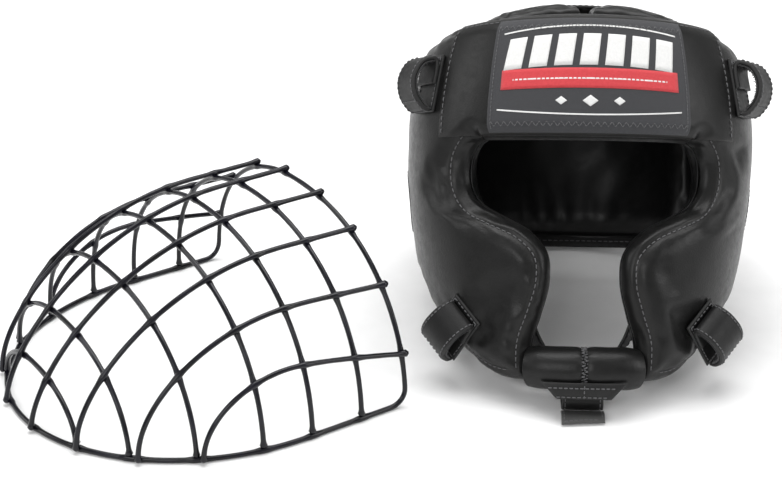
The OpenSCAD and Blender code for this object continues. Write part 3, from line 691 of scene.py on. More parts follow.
def side_place(u, v):
    """The patch inside the side pad's four edges (a Coons patch)."""
    u1, v1 = u[..., None], v[..., None]
    a = mix(38.6, REAR_A, u)
    upper = np.stack([a, top_z(a)], -1)
    low, rear = np.array(LOWER_EDGE, float), np.array(REAR_EDGE, float)
    top_front, top_rear = np.array([38.6, top_z(38.6)]), np.array([REAR_A, top_z(REAR_A)])
    return ((1 - u1) * curve(FRONT_EDGE, v) + u1 * curve(rear, v) + (1 - v1) * curve(low, u) + v1 * upper
            - (1 - u1) * (1 - v1) * low[0] - u1 * (1 - v1) * rear[0]
            - (1 - u1) * v1 * top_front - u1 * v1 * top_rear)


def side_outline():
    a = mix(38.6, REAR_A, span(20))
    upper = np.stack([a, top_z(a)], -1)
    return laid_flat(np.concatenate([curve(FRONT_EDGE, span(140)), upper,
                                     curve(REAR_EDGE, 1 - span(30)), curve(LOWER_EDGE, 1 - span(30))]))


SIDE_OUTLINE = side_outline()


def side_edge(p, u, v):
    on_rim = (u == 0) | (u == 1) | (v == 0) | (v == 1)
    return np.where(on_rim, 0, distance_to(laid_flat(p), SIDE_OUTLINE))


def side_at(p, lift):
    d = distance_to(laid_flat(p), SIDE_OUTLINE)
    return shell_at(p, under_outside(FACE_PAD, d) + groove(d) * puff(d, FACE_PAD[2]) - lift)


def ear_hole(grids):
    """Keeps the quads outside the ear opening and moves those on its edge onto the circle."""
    centre = shell(EAR_A, EAR_Z)[1:]
    radius = EAR_R - 0.2
    inside = None
    for g in grids:
        off = g[..., 1:] - centre
        r = np.linalg.norm(off, axis=-1)
        inside = r < radius if inside is None else inside
        on_circle = centre + off / r[..., None] * radius
        g[..., 1:] = np.where((inside | (r < radius))[..., None], on_circle, g[..., 1:])
    corners = np.stack([inside[:-1, :-1], inside[1:, :-1], inside[:-1, 1:], inside[1:, 1:]])
    return ~corners.all(0)


def side_creases(p, d):
    """Creases of the side lining, where the head presses it round the temple."""
    a, z = p[..., 0], p[..., 1]
    total = 0
    for level, tilt, size in ((206, 0.18, 1.2), (194, 0.1, 1.5), (181, 0.16, 1.3), (168, 0.05, 1.0)):
        line = z - level - tilt * (a - 66) - 1.5 * np.sin(a / 5)
        total = total + size * bump_at(line, 0, 2.4) * bump_at(a, 68, 17)
    return -total


def line_in(edge_points, t, inset, side=1):
    """A line at a distance inside a run of an outline, as angle and level."""
    flat = laid_flat(curve(edge_points, t))
    ahead = unit(np.gradient(flat, axis=0))
    return (flat + side * inset * np.stack([ahead[:, 1], -ahead[:, 0]], -1)) / laid_flat(np.ones(2))


# Neck pad.

def back_place(u, v):
    a = mix(NECK_A, 360 - NECK_A, u)
    return np.stack([a, mix(NECK_Z, top_z(a), v)], -1)


def back_edge(p, u, v):
    w, h = (360 - 2 * NECK_A) * ARC_R * math.pi / 180, NAPE_Z - NECK_Z
    return np.minimum(np.minimum(u, 1 - u) * w, np.minimum(v * h - NECK_FLANGE, (1 - v) * h))


def back_creases(p, d):
    """Upright folds in the lining over the lower half of the neck pad."""
    a, z = p[..., 0], p[..., 1]
    total = 0
    folds = ((195, 1.5, 2.2, 130), (188.5, 1.7, 2.4, 134), (181, 1.2, 2.0, 127), (171, 1.3, 3.0, 131),
             (160, 0.9, 3.2, 128))
    for middle, size, width, top in folds:
        line = a - middle - 0.05 * (z - 118)
        total = total + size * bump_at(line, 0, width) * bump_at(z, (top + 100) / 2, (top - 96) / 2)
    return -total * puff(d, 10)


# Crown pads.

CROWN_TOP, CROWN_SLOT, CROWN_FRONT, CROWN_BACK, CROWN_STRAP_W = 257, 4, -66, 84, 25
CROWN_STRAP_YS = {"front": 16, "rear": 56}


def crown_x(y):
    return 74 * np.maximum(1 - (np.abs(y - 6) / 98) ** SHELL_POWER, 0) ** (1 / SHELL_POWER)


def crown_at(p, depth):
    """A point of the crown, over x and y, at a depth under its outside."""
    x, y = p[..., 0], p[..., 1]
    z = CROWN_TOP - 15 * (x / 76) ** 2 - 26 * ((y + 20) / 100) ** 2
    up = unit(np.stack([30 * x / 76 ** 2, 52 * (y + 20) / 100 ** 2, np.ones_like(x)], -1))
    return np.stack([x, y, z], -1) - np.asarray(depth)[..., None] * up


def crown_place(u, v):
    y = mix(CROWN_FRONT, CROWN_BACK, v)
    return np.stack([mix(CROWN_SLOT, crown_x(y), u), y], -1)


def crown_edge(p, u, v):
    return np.minimum(np.minimum(u, 1 - u) * (crown_x(p[..., 1]) - CROWN_SLOT),
                      np.minimum(v, 1 - v) * (CROWN_BACK - CROWN_FRONT))


SIDES = {"left": 1, "right": -1}


def make_pads():
    """Each pad has its own count of points along and up, seed, and share of the simulated swelling."""
    make_pad("brow", "", BROW_PAD, brow_place, brow_edge, shell_at, crowded(72), crowded(48), 11, blow=0.3)
    for word, side in SIDES.items():
        make_pad("side", "_" + word, FACE_PAD, side_place, side_edge, shell_at, crowded(92), crowded(128),
                 21 + side, side, hole=ear_hole, creases=side_creases, blow=0.7)
        make_pad("crown", "_" + word, CROWN_PAD, crown_place, crown_edge, crown_at, crowded(48), crowded(80),
                 31 + side, side, blow=0.4)
    make_pad("back", "", NECK_PAD, back_place, back_edge, shell_at, crowded(120), crowded(80), 41,
             creases=back_creases, blow=0.6)


def make_pad_stitches():
    runs = ((FRONT_EDGE, np.linspace(0.03, 0.985 * EYE_SHARE, 260), 1),
            (LOWER_EDGE, np.linspace(0.1, 0.97, 140), -1), (REAR_EDGE, np.linspace(0.05, 0.97, 140), -1))
    lines = [stitch_on(side_at, line_in(edge, t, STITCH_IN, way), STITCH_LIFT) for edge, t, way in runs]
    for word, side in SIDES.items():
        sew(f"side_stitches_{word}", lines, side=side)


# ---------- Forehead ----------

def eye_outline():
    line = curve(FRONT_EDGE, span(60) * EYE_SHARE)
    ends = np.array([[SEAM_A, EYE_TOP_Z], [-SEAM_A, EYE_TOP_Z]], float)
    return laid_flat(np.concatenate([line, ends]))


EYE_OUTLINE = eye_outline()


def over_brow(a_max, z0, z1, lift):
    """A sheet laid over the brow, following its rounded top and the rounded edge of the eye opening."""
    def at(u, v, off):
        a = mix(-a_max, a_max, u)
        z = mix(z0, top_z(a) - BROW_Z + z1, v)
        d = np.minimum(distance_to(laid_flat(np.stack([np.abs(a), z], -1)), EYE_OUTLINE), top_z(a) - z)
        return shell(a, z, under_outside(BROW_PAD, d) - lift - off)
    return at


OVERLAY_A, LABEL_A = 53, 33


def make_forehead():
    at = over_brow(OVERLAY_A, EYE_TOP_Z + 2, BROW_Z - 2.5, 1.4)
    size = (2 * OVERLAY_A * ARC_R * math.pi / 180, 78)
    overlay = thin_piece("forehead_panel", at, edged(110, size[0]), edged(56, size[1]), size, 1.3)
    add(overlay, COVER, "headgear", "leather", "forehead_overlay")
    seams = sew("forehead_stitches", border_lines(at, size, 2.6, 0.7, "u0 u1 v1"))
    flat_size(at)
    make_label()


def make_label():
    at = over_brow(LABEL_A, EYE_TOP_Z + 4, BROW_Z - 4.5, 2.6)
    size = (2 * LABEL_A * ARC_R * math.pi / 180, 74)
    label = thin_piece("label", at, edged(80, size[0]), edged(48, size[1]), size, 0.8)
    add(label, LABEL, "headgear", "woven_label", "label_patch")
    lines = border_lines(at, size, 2.2, 0.4, "u0 u1")
    u, swing = zigzag(0.02, 0.98, 57, 1.6 / size[1])
    lines += [line_on(at, u, middle + swing, 0.4) for middle in (5.5 / size[1], 1 - 5.5 / size[1])]
    seams = sew("label_stitches", lines, slot="woven_label", pitch=2.65, length=2.5, radius=0.3)
    white, red = make_motif(at, size)
    flat_size(at)


def label_tile(at, corner, across, up, bow, n=12):
    """A flat woven figure on the label: a slanted tile from its corner, bowed like an arch."""
    s, t = np.meshgrid(span(n), span(6))
    u = corner[0] + across[0] * s + up[0] * t
    v = corner[1] + across[1] * s + up[1] * t - bow * (2 * u - 1) ** 2
    return at(u, v, 0.62 + 0 * u), at(u, v, 0.3 + 0 * u)


def join_tiles(name, tiles, scale):
    """One mesh from several tiles."""
    points, faces, along, across, n = [], [], [], [], 0
    for outer, inner in tiles:
        rows, cols = outer.shape[:2]
        points += [outer.reshape(-1, 3), inner.reshape(-1, 3)]
        faces.append(two_sheets(grid_quads(rows, cols), rows * cols) + n)
        s, t = np.meshgrid(span(cols - 1), span(rows - 1))
        along += [s.ravel() * scale, s.ravel() * scale]
        across += [t.ravel() * scale, t.ravel() * scale]
        n += 2 * rows * cols
    weave = {"along": np.concatenate(along), "across": np.concatenate(across)}
    return new_mesh(name, from_head(np.concatenate(points)), np.concatenate(faces), weave)


def make_motif(at, size):
    """A plain emblem: slanted bars in an arch, a red band with a pale line, and diamonds under it."""
    bars = [label_tile(at, (0.068 + k * 0.1255, 0.585), (0.09, 0), (0.02, 0.275), 0.06, 8)
            for k in range(7)]
    thin = 0.013
    lines = [label_tile(at, (0.05, 0.925), (0.9, 0), (0, thin), 0.075, 40),
             label_tile(at, (0.05, 0.15), (0.9, 0), (0, thin), -0.05, 40),
             label_tile(at, (0.12, 0.462), (0.76, 0), (0, thin), 0.02, 40)]
    diamonds = []
    for middle, half in ((0.36, 0.028), (0.5, 0.038), (0.64, 0.028)):
        tall = half * size[0] / size[1] * 0.8
        diamonds.append(label_tile(at, (middle - half, 0.275), (half, -tall), (half, tall), 0, 6))
    white = join_tiles("label_figures", bars + lines + diamonds, 20)
    band = join_tiles("label_band", [label_tile(at, (0.062, 0.385), (0.876, 0), (0, 0.175), 0.02, 40)], 60)
    for piece, material in ((white, LABEL_WHITE), (band, LABEL_RED)):
        add(piece, material, "headgear", "woven_label")
    return white, band


# ---------- Ears, chin, binding, gussets ----------

def shell_x(y, z, depth):
    """How far out the shell is at a place seen from the side."""
    d = np.where(y < 0, front_d(z), back_d(z)) - depth
    return (half_w(z) - depth) * (1 - (np.abs(y) / d) ** SHELL_POWER) ** (1 / SHELL_POWER)


def make_ear(word, side):
    """The ear opening's leather tube, turned over the cover and the lining as a soft lip."""
    centre = shell(EAR_A, EAR_Z)[1:]
    turn, s = np.meshgrid(np.radians(np.linspace(0, 360, 73)[:-1]), span(36))
    outer_lip, inner_lip = np.clip(s / 0.3, 0, 1), np.clip((1 - s) / 0.3, 0, 1)
    open_out = 3.6 * (1 - np.sin(outer_lip * math.pi / 2)) + 3.6 * (1 - np.sin(inner_lip * math.pi / 2))
    r = EAR_R - 1.6 + open_out
    y, z = centre[0] + r * np.cos(turn), centre[1] + r * np.sin(turn)
    outside, inside = shell_x(y, z, -0.9), shell_x(y, z, PAD_T + 0.8)
    roll = 1.3 * np.where(s < 0.5, np.sin(outer_lip * math.pi) ** 2, -np.sin(inner_lip * math.pi) ** 2)
    down = np.clip((s - 0.22) / 0.56, 0, 1)
    x = mix(outside, inside, down) + roll
    tube = np.stack([x, y, z], -1)
    way = unit(np.stack([0 * y, centre[0] - y, centre[1] - z], -1))
    blend = np.sin(np.clip(s, 0, 1) * math.pi)[..., None]
    lift = unit(way * blend + np.array([1.0, 0, 0]) * (1 - blend) * np.where(s < 0.5, 1, -1)[..., None])
    rows, cols = s.shape
    quads = grid_quads(rows, cols, closed=True)
    points = np.concatenate([(tube + lift * 0.7).reshape(-1, 3), (tube - lift * 0.7).reshape(-1, 3)])
    faces = two_sheets(quads, rows * cols)
    obj = new_mesh(f"ear_tube_{word}", from_head(mirrored(points, side)), faces,
                   {"wear": np.concatenate([0.4 * open_out.ravel() / 3.6] * 2)})
    add(obj, STRAP, "headgear", "leather", f"ear_sleeve_{word}")
    ring = np.radians(np.linspace(0, 360, 160))
    y, z = centre[0] + (EAR_R + 1.1) * np.cos(ring), centre[1] + (EAR_R + 1.1) * np.sin(ring)
    line = np.stack([shell_x(y, z, -2.1), y, z], -1)
    sew(f"ear_stitches_{word}", [(line, np.tile([1.0, 0, 0], (160, 1)))], side=side, pitch=3.6, length=2.6)


def make_roll(word, side):
    """Half of the chin roll: a full leather tube drawn in at the middle seam."""
    rows, cols = 120, 56
    u, k = np.meshgrid(span(rows - 1), span(cols)[:-1], indexing="ij")
    a, w = mix(0.2, ROLL_A + 0.6, u), 360 * k
    centre, f = shell(a, ROLL_R, ROLL_R), facing(a, ROLL_R)
    along = u * 40
    fullness = mix(0.8, 1, puff(along, 6)) * (1 - 0.06 * np.clip((along - 30) / 10, 0, 1) ** 2)
    out = np.stack([cos_d(w) * sin_d(f), -cos_d(w) * cos_d(f), sin_d(w)], -1)
    gathers = 0.5 * np.sin(np.radians(w) * 17 + 3 * side) * np.exp(-along / 3.2)
    soft = 0.25 * ripple(centre + 10 * out, 22, 51 + side)
    r = ROLL_R * fullness + gathers + soft * puff(along, 8)
    rings = centre + r[..., None] * out
    hub = np.stack([rings[0].mean(0), rings[-1].mean(0)])
    wear = np.concatenate([(0.4 * np.exp(-along / 4)).ravel(), [0, 0]])
    points = from_head(mirrored(np.concatenate([rings.reshape(-1, 3), hub]), side))
    obj = new_mesh(f"chin_cushion_{word}", points, capped_tube(rows, cols), {"wear": wear})
    add(obj, COVER, "headgear", "leather", f"chin_roll_{word}", f"chin_core_{word}")


def make_roll_seam():
    """Zigzag stitches that close the two halves of the roll at the middle."""
    w, a = zigzag(95, -75, 35, 1.25)
    centre, f = shell(np.abs(a), ROLL_R, ROLL_R), facing(np.abs(a), ROLL_R)
    centre[:, 0] *= np.sign(a)
    out = np.stack([cos_d(w) * sin_d(f) * np.sign(a), -cos_d(w) * cos_d(f), sin_d(w)], -1)
    line = centre + (ROLL_R * mix(0.8, 1, puff(1.9, 6)) + 0.2) * out
    sew("chin_seam", [(line, out)], pitch=2.7, length=2.4, radius=0.36)


FLAP_PATH = [[11.6, -8.6], [10.6, -13.5], [7.6, -19.5]]


def chin_flap_at(u, v, off):
    a, p = mix(-1, 1, u) * mix(9.5, 15, v), curve(FLAP_PATH, 1 - v)
    f, c = facing(a, ROLL_R), shell(a, ROLL_R, ROLL_R)
    out = np.stack([sin_d(f), -cos_d(f), 0 * f], -1)
    wave = 0.5 * np.sin(u * 21) * (1 - v)
    return c + (p[..., :1] + (off + STRAP_T / 2 + wave)[..., None]) * out + p[..., 1:] * np.array([0, 0, 1])


def ribbon(path, across, w):
    """A strap's surface along a curve; across is the direction of its width."""
    def at(u, v, off):
        tangent = unit(curve(path, u + 0.01) - curve(path, u - 0.01))
        side = unit(curve(across, u))
        lift = unit(np.cross(tangent, side))
        return curve(path, u) + side * (w * (v - 0.5))[..., None] + lift * off[..., None]
    return at


CHIN_STRAP_PATH = [[41, -57, 61], [37, -58, 45], [30, -59, 30], [19, -60, 17], [1, -60, 10]]
CHIN_STRAP_ACROSS = [[0.5, 1, 0], [0.35, 1, 0], [0.2, 1, 0], [0, 1, 0]]
CHIN_STRAP_W = 27
FOLD_PATH = [[-85.1, 13.2], [-86.7, 8], [-85.5, 3.2], [-82, 1.25], [-75, 1.15], [-68, 1.5], [-65.5, 5]]
TAB_PATH = [[-88.4, 1.9], [-92.5, 3.6], [-97.5, 3.9], [-102, 2.4]]


def across_head(path, w, bow=0.0, skew=0.0):
    """A strap under the chin, extruded across the head: its path is along Y and Z on the table."""
    def at(u, v, off):
        p, ahead = curve(path, u), unit(curve(path, u + 0.01) - curve(path, u - 0.01))
        y, z = p[..., 0] - ahead[..., 1] * off, p[..., 1] + ahead[..., 0] * off
        edge = (2 * v - 1) ** 2
        return np.stack([w * (v - 0.5), y + skew * (v - 0.5) * u, z - bow * edge * u], -1)
    return at


def from_table(p):
    """Beside the head's X and Y but standing on the table, to the row frame in metres."""
    return (np.asarray(p) + np.array([HEAD_AT[0], HEAD_AT[1], 0])) / 1000


def make_chin():
    for word, side in SIDES.items():
        make_roll(word, side)
        at, size = ribbon(CHIN_STRAP_PATH, CHIN_STRAP_ACROSS, CHIN_STRAP_W), (72, CHIN_STRAP_W)
        sewn_strap("chin_webbing", "_" + word, at, size, (60, 16), border_lines(at, size, 2.2), "headgear",
                   f"chin_strap_{word}", side=side)
    make_roll_seam()
    at, size = chin_flap_at, (2 * 15 * ARC_R * math.pi / 180, 13)
    lines = border_lines(at, size, 2.0, sides="v0")
    lines += [line_on(at, mix(0.03, 0.97, span(80)), 0.62 + 0 * span(80), STRAP_OUT)]
    lines += cross_lines(at, (0.5,), 0.08, 0.95, n=20)
    sewn_strap("chin_skirt", "", at, size, (70, 16), lines, "headgear", "chin_flap", slot="leather",
               pitch=3.4, length=2.5)
    at, size = across_head(FOLD_PATH, CHIN_STRAP_W), (36, CHIN_STRAP_W)
    lines = border_lines(at, size, 2.2, -STRAP_OUT, "v0 v1")
    sewn_strap("chin_fold", "", at, size, (50, 16), lines, "headgear", "chin_strap_fold", place=from_table)
    at, size = across_head(TAB_PATH, CHIN_STRAP_W + 1, 0.8, 3.2), (14, CHIN_STRAP_W + 1)
    lines = border_lines(at, size, 1.8, -0.95, "v0 v1 u1")
    sewn_strap("chin_pull", "", at, size, (24, 16), lines, "chin_tab", "chin_tab", t=STRAP_T - 0.4, material=TAB,
               place=from_table, pitch=3.2, length=2.3, radius=0.3)


def make_binding():
    """The strip folded round the neck pad's lower edge."""
    d0, d1, leg, t = NECK_PAD[0] - 0.7, NECK_PAD[0] + SEAM_T + 0.7, 6, 1.1
    path = [[d0, NECK_Z + leg], [d0, NECK_Z + 1.6], [d0 + 0.5, NECK_Z - 0.35], [(d0 + d1) / 2, NECK_Z - 0.8],
            [d1 - 0.5, NECK_Z - 0.35], [d1, NECK_Z + 1.6], [d1, NECK_Z + leg]]

    def at(u, v, off):
        p = curve(path, v)
        ahead = unit(curve(path, v + 0.01) - curve(path, v - 0.01))
        a = mix(NECK_A, 360 - NECK_A, u)
        pucker = 0.15 * np.sin(a * 7.3) * (1 - (2 * v - 1) ** 2)
        return shell(a, p[..., 1] - ahead[..., 0] * off, p[..., 0] + ahead[..., 1] * off + pucker)

    size = (190, 18)
    strip = thin_piece("neck_binding", at, edged(150, size[0]), edged(28, size[1], 0.8), size, t)
    add(strip, STRAP, "headgear", "leather", "back_binding")
    u = mix(0.01, 0.99, span(120))
    sew("neck_binding_stitches", [line_on(at, u, v + 0 * u, 0.6) for v in (0.1, 0.9)])


def make_gusset(word, side):
    def at(u, v, off):
        a = mix(REAR_A - 1.5, NECK_A + 1.5, u)
        z = mix(NECK_Z + 4, top_z(a) - 2, v)
        sag = 2.5 * np.sin(u * math.pi) + 0.5 * ripple(np.stack([a * 1.8, z], -1), 17, 61)
        return shell(a, z, 13.4 + sag - off)
    size = (18, 140)
    grid = edged(20, size[0]), edged(80, size[1])
    panel = thin_piece(f"side_panel_{word}", at, *grid, size, LEATHER_T, side)
    add(panel, STRAP, "headgear", "leather", f"gusset_{word}")
    flat_size(at)


# ---------- Hook and loop closures ----------

def on_shell_sheet(a0, a1, z0, z1, depth):
    def at(u, v, off):
        return shell(mix(a0, a1, u), mix(z0, z1, v), depth - off)
    return at


def on_crown_sheet(x0, x1, y, w, depth):
    def at(u, v, off):
        p = np.stack([mix(x0, x1, u), y + w * (v - 0.5)], -1)
        return crown_at(p, depth - off)
    return at


def fibres(name, at, size, base, height, pitch, seed, side=1, bend=0.6):
    """Short bent fibres all over a tape: the pile of loop tape, or the hooks of hook tape."""
    rng = np.random.default_rng(seed)
    feet = np.meshgrid(*[np.arange(pitch, length - pitch / 2, pitch) for length in size])
    u, v = [np.clip((x.ravel() + rng.uniform(-0.4, 0.4, x.size) * pitch) / length, 0.01, 0.99)
            for x, length in zip(feet, size)]
    foot = at(u, v, base + 0 * u)
    up = unit(at(u, v, base + 0.5 + 0 * u) - foot)
    lean = unit(rng.normal(size=foot.shape))
    tall = height * rng.uniform(0.7, 1.2, len(foot))[:, None]
    middle = foot + up * tall * 0.7 + lean * tall * 0.15 * bend
    tip = foot + up * tall * 0.85 + lean * tall * bend
    beside = unit(np.cross(up, lean))
    behind = np.cross(up, beside)
    rings = []
    for centre, r in ((foot, 0.3), (middle, 0.24), (tip, 0.1)):
        for turn in (0, 120, 240):
            rings.append(centre + r * (cos_d(turn) * beside + sin_d(turn) * behind))
    points = np.stack(rings, 1)
    one = grid_quads(3, 3, closed=True)
    quads = (one[None] + 9 * np.arange(len(foot))[:, None, None]).reshape(-1, 4)
    caps = (np.array([[6, 7, 8], [2, 1, 0]])[None] + 9 * np.arange(len(foot))[:, None, None]).reshape(-1, 3)
    return new_mesh(name, from_head(mirrored(points.reshape(-1, 3), side)), quads.tolist() + caps.tolist())


def tape_piece(name, node, at, size, body, facing_out, seed, side=1, fibre=0.9, pitch=1.7):
    """A woven tape with its fibres on the side that meets the other tape."""
    grid = edged(max(8, int(size[0] / 3)), size[0], 0.8), edged(14, size[1], 0.8)
    tape = add(thin_piece(name, at, *grid, size, TAPE_T * 0.7, side), TAPE, body, "hook_and_loop", *node)
    way = 1 if facing_out else -1
    pile = fibres(name + "_fibres", lambda u, v, off: at(u, v, way * off), size, TAPE_T * 0.3, fibre, pitch,
                  seed, side)
    add(pile, PILE, body, "hook_and_loop")
    lines = border_lines(at, size, 1.6, TAPE_T * 0.36 * way)
    seams = sew(name + "_stitches", lines, body, "hook_and_loop", side, pitch=3.4, length=2.5, radius=0.3)
    flat_size(at)


# Where the closing flaps run round the head, in degrees, and the crown straps across it.
FLAP_ROOT, FLAP_SPAN, FLAP_HOOKS = (103, 114), (110, 166), (NECK_A + 14, 165)
CROWN_PILE_X, CROWN_ROOT_X, CROWN_STRAP_X, CROWN_HOOK_X = (22, 62), (-62, -40), (-44, 58), (26, 57)
PILE_SPAN = (NECK_A + 12, 348 - NECK_A)
FLAP_LEVELS = (FLAP_Z - FLAP_H / 2, FLAP_Z + FLAP_H / 2)


def arc(a0, a1):
    """Length round the back of the shell between two angles."""
    return abs(a1 - a0) * (ARC_R + 20) * math.pi / 180


def flap_sheet(run, depth, inset=0):
    """Surface and size of a strap or tape that goes round the back of the head."""
    low, high = FLAP_LEVELS
    return on_shell_sheet(*run, low + inset, high - inset, depth), (arc(*run), FLAP_H - 2 * inset)


def make_back_closure():
    pile = flap_sheet(PILE_SPAN, PILE_IN - TAPE_T / 2)
    tape_piece("pile_field", ("back_pile_field",), *pile, "headgear", True, 71)
    for word, side in SIDES.items():
        body, tail = f"rear_flap_{word}", "_" + word
        at, size = flap_sheet(FLAP_ROOT, BASE_IN - STRAP_T / 2)
        sewn_strap("flap_root", tail, at, size, (16, 30), border_lines(at, size, 2.4), "headgear",
                   f"flap_base_{word}", side=side)
        at, size = flap_sheet(FLAP_SPAN, STRAP_IN - STRAP_T / 2)
        lines = border_lines(at, size, 2.8) + cross_lines(at, (0.17,), 0.06, 0.94, n=60)
        flap = sewn_strap("closing_flap", tail, at, size, (70, 30), lines, body, body, side=side)
        flat_size(at)
        hooks = flap_sheet(FLAP_HOOKS, HOOK_IN - TAPE_T / 2, 2)
        tape_piece(f"hook_patch_{word}", (f"rear_hook_{word}",), *hooks, body, False, 73 + side, side,
                   fibre=0.55, pitch=1.6)


def make_crown_closure():
    for k, (word, y) in enumerate(CROWN_STRAP_YS.items()):
        body, tail, w = f"crown_strap_{word}", "_" + word, CROWN_STRAP_W
        at = on_crown_sheet(*CROWN_PILE_X, y, w, PILE_IN - TAPE_T / 2)
        tape_piece(f"crown_pile_{word}", ("crown_pile_tapes",), at, (41, w), "headgear", True, 81 + k)
        at, size = on_crown_sheet(*CROWN_ROOT_X, y, w, BASE_IN - STRAP_T / 2), (23, w)
        sewn_strap("crown_root", tail, at, size, (14, 16), border_lines(at, size, 2.4), "headgear",
                   "crown_strap_bases")
        at, size = on_crown_sheet(*CROWN_STRAP_X, y, w, STRAP_IN - STRAP_T / 2), (104, w)
        sewn_strap("crown_webbing", tail, at, size, (60, 16), border_lines(at, size, 2.4), body, body)
        at = on_crown_sheet(*CROWN_HOOK_X, y, w - 3, HOOK_IN - TAPE_T / 2)
        tape_piece(f"crown_hooks_{word}", (f"crown_hook_{word}",), at, (32, w - 3), body, False, 85 + k,
                   fibre=0.55, pitch=1.6)


# ---------- Loops that hold the cage ----------

LOOPS = {"upper": (62, 199, 90, 0, 0.4), "lower": (50, 38, 42, -14, 2.4)}
LOOP_HALF, LOOP_W, LOOP_T = 19.5, 27, 3
LOOP_FOOT = -FIT_GAP - 1.5 * STRAP_T
LOOP_PATH = [[LOOP_HALF - 1.4, LOOP_FOOT], [LOOP_HALF - 2, -8], [10.5, -15.5], [0, -18.6], [-10.5, -15.5],
             [-15.4, -9], [-15, -5], [-10, LOOP_FOOT], [1, LOOP_FOOT]]


def turned(axis, degrees):
    """A turn about X, Y or Z as a matrix."""
    c, s = float(cos_d(degrees)), float(sin_d(degrees))
    i, j = [(1, 2), (2, 0), (0, 1)]["xyz".index(axis)]
    m = np.eye(3)
    m[i, i] = m[j, j] = c
    m[i, j], m[j, i] = -s, s
    return m


def on_shell(place):
    """Carries a loop's own frame onto the shell."""
    a, z, turn, twist, lift = place
    m = turned("z", facing(a, z) + twist) @ turned("x", leaning(a, z)) @ turned("y", turn)
    origin = shell(a, z, -lift)
    return lambda p: p @ m.T + origin


def make_loop(level, word, side):
    carry, body = on_shell(LOOPS[level]), f"loop_{level}_{word}"

    def base_at(u, v, off):
        p = np.stack([mix(-LOOP_HALF, LOOP_HALF, u), -STRAP_T / 2 - off, LOOP_W * (v - 0.5)], -1)
        return carry(p)

    def strap_at(u, v, off):
        p, ahead = curve(LOOP_PATH, u), unit(curve(LOOP_PATH, u + 0.008) - curve(LOOP_PATH, u - 0.008))
        x, y = p[..., 0] - ahead[..., 1] * off, p[..., 1] + ahead[..., 0] * off
        wide = (LOOP_W - 1) * (1 - 0.05 * np.sin(u * math.pi))
        return carry(np.stack([x, y, wide * (v - 0.5)], -1))

    def tape_at(u, v, off):
        return strap_at(mix(0.1, 0.72, u), v, -LOOP_T / 2 - TAPE_T / 2 - off)

    tail, size, out = f"_{level}_{word}", (2 * LOOP_HALF, LOOP_W), LOOP_T / 2 + 0.05
    thread = {"side": side, "pitch": 3.4, "length": 2.5}
    sewn_strap("loop_root", tail, base_at, size, (16, 16), border_lines(base_at, size, 2), "headgear",
               "loop_base" + tail, **thread)
    size = (94, LOOP_W - 1)
    lines = border_lines(strap_at, size, 2.2, out, "v0 v1")
    lines += cross_lines(strap_at, (0.035, 0.2, 0.97), 0.1, 0.9, out)
    sewn_strap("loop_strap", tail, strap_at, size, (110, 18), lines, body, body, t=LOOP_T, **thread)
    tape_piece("loop_tape" + tail, (), tape_at, (58, LOOP_W - 2), body, True, 95, side, 1.3, 1.6)


# ---------- Face cage ----------

CAGE_HALF_W, CAGE_H, CAGE_LEN, WIRE_D = 125, 111, 215, 3.4
STRAIGHT_LEN, LEVEL_LEN, ARCH_POWER, CORNER_R, OVERHANG = 75, 50, 2.2, 11, 3
WIRE_R, WELD, CURVED_LEN = WIRE_D / 2, WIRE_D + 0.1, CAGE_LEN - STRAIGHT_LEN
LONG_WIRES = [[22, 19], [61, 56], [97, 88], [120, 110]]
CROSS_WIRES = [34, 71, 105, 145, 179, 201]


def rim_half_w(s):
    return np.where(s < STRAIGHT_LEN, CAGE_HALF_W,
                    CAGE_HALF_W * np.sqrt(np.maximum(0, 1 - ((s - STRAIGHT_LEN) / CURVED_LEN) ** 2)))


def dome_h(s):
    return np.where(s < LEVEL_LEN, CAGE_H,
                    CAGE_H * np.maximum(0, 1 - ((s - LEVEL_LEN) / (CAGE_LEN - LEVEL_LEN)) ** 2) ** 0.65)


def dome_z(s, y):
    w = np.maximum(rim_half_w(s), 1e-6)
    return dome_h(s) * np.maximum(0, 1 - (np.abs(y) / w) ** ARCH_POWER) ** (1 / ARCH_POWER)


def dome_out(p):
    x = np.maximum(p[..., 0] - STRAIGHT_LEN, 0)
    return unit(np.stack([x / CURVED_LEN ** 2, p[..., 1] / CAGE_HALF_W ** 2, p[..., 2] / CAGE_H ** 2], -1))


def superellipse(w, h, q):
    c, s = cos_d(q), sin_d(q)
    return np.stack([w * np.sign(c) * np.abs(c) ** (2 / ARCH_POWER), h * np.abs(s) ** (2 / ARCH_POWER)], -1)


def evenly(points, pitch, closed=False):
    """The same line with evenly spaced points."""
    line = np.concatenate([points, points[:1]]) if closed else points
    at = np.concatenate([[0], np.cumsum(np.linalg.norm(np.diff(line, axis=0), axis=1))])
    n = int(round(at[-1] / pitch))
    s = np.linspace(0, at[-1], n + 1)
    s = s[:-1] if closed else s
    return np.stack([np.interp(s, at, line[:, k]) for k in range(3)], -1)


def smoothed(line, times, closed=False):
    """Takes the kinks out of a line and keeps its ends."""
    for _ in range(times):
        before, after = np.roll(line, 1, axis=0), np.roll(line, -1, axis=0)
        soft = (before + 2 * line + after) / 4
        if not closed:
            soft[0], soft[-1] = line[0], line[-1]
        line = soft
    return line


def long_wire(w, side):
    end = STRAIGHT_LEN + CURVED_LEN * math.sqrt(1 - (w[1] / CAGE_HALF_W) ** 2)
    t = span(300)
    x = mix(-OVERHANG, end, 1 - (1 - t) ** 2)
    y = side * mix(w[0], w[1], np.maximum(x, 0) / end)
    z = np.maximum(dome_z(np.maximum(x, 0), y), WIRE_R)
    z[-1] = WIRE_R
    p = np.stack([x, y, z], -1)
    return smoothed(evenly(p + WELD * dome_out(p), 1.6), 12)


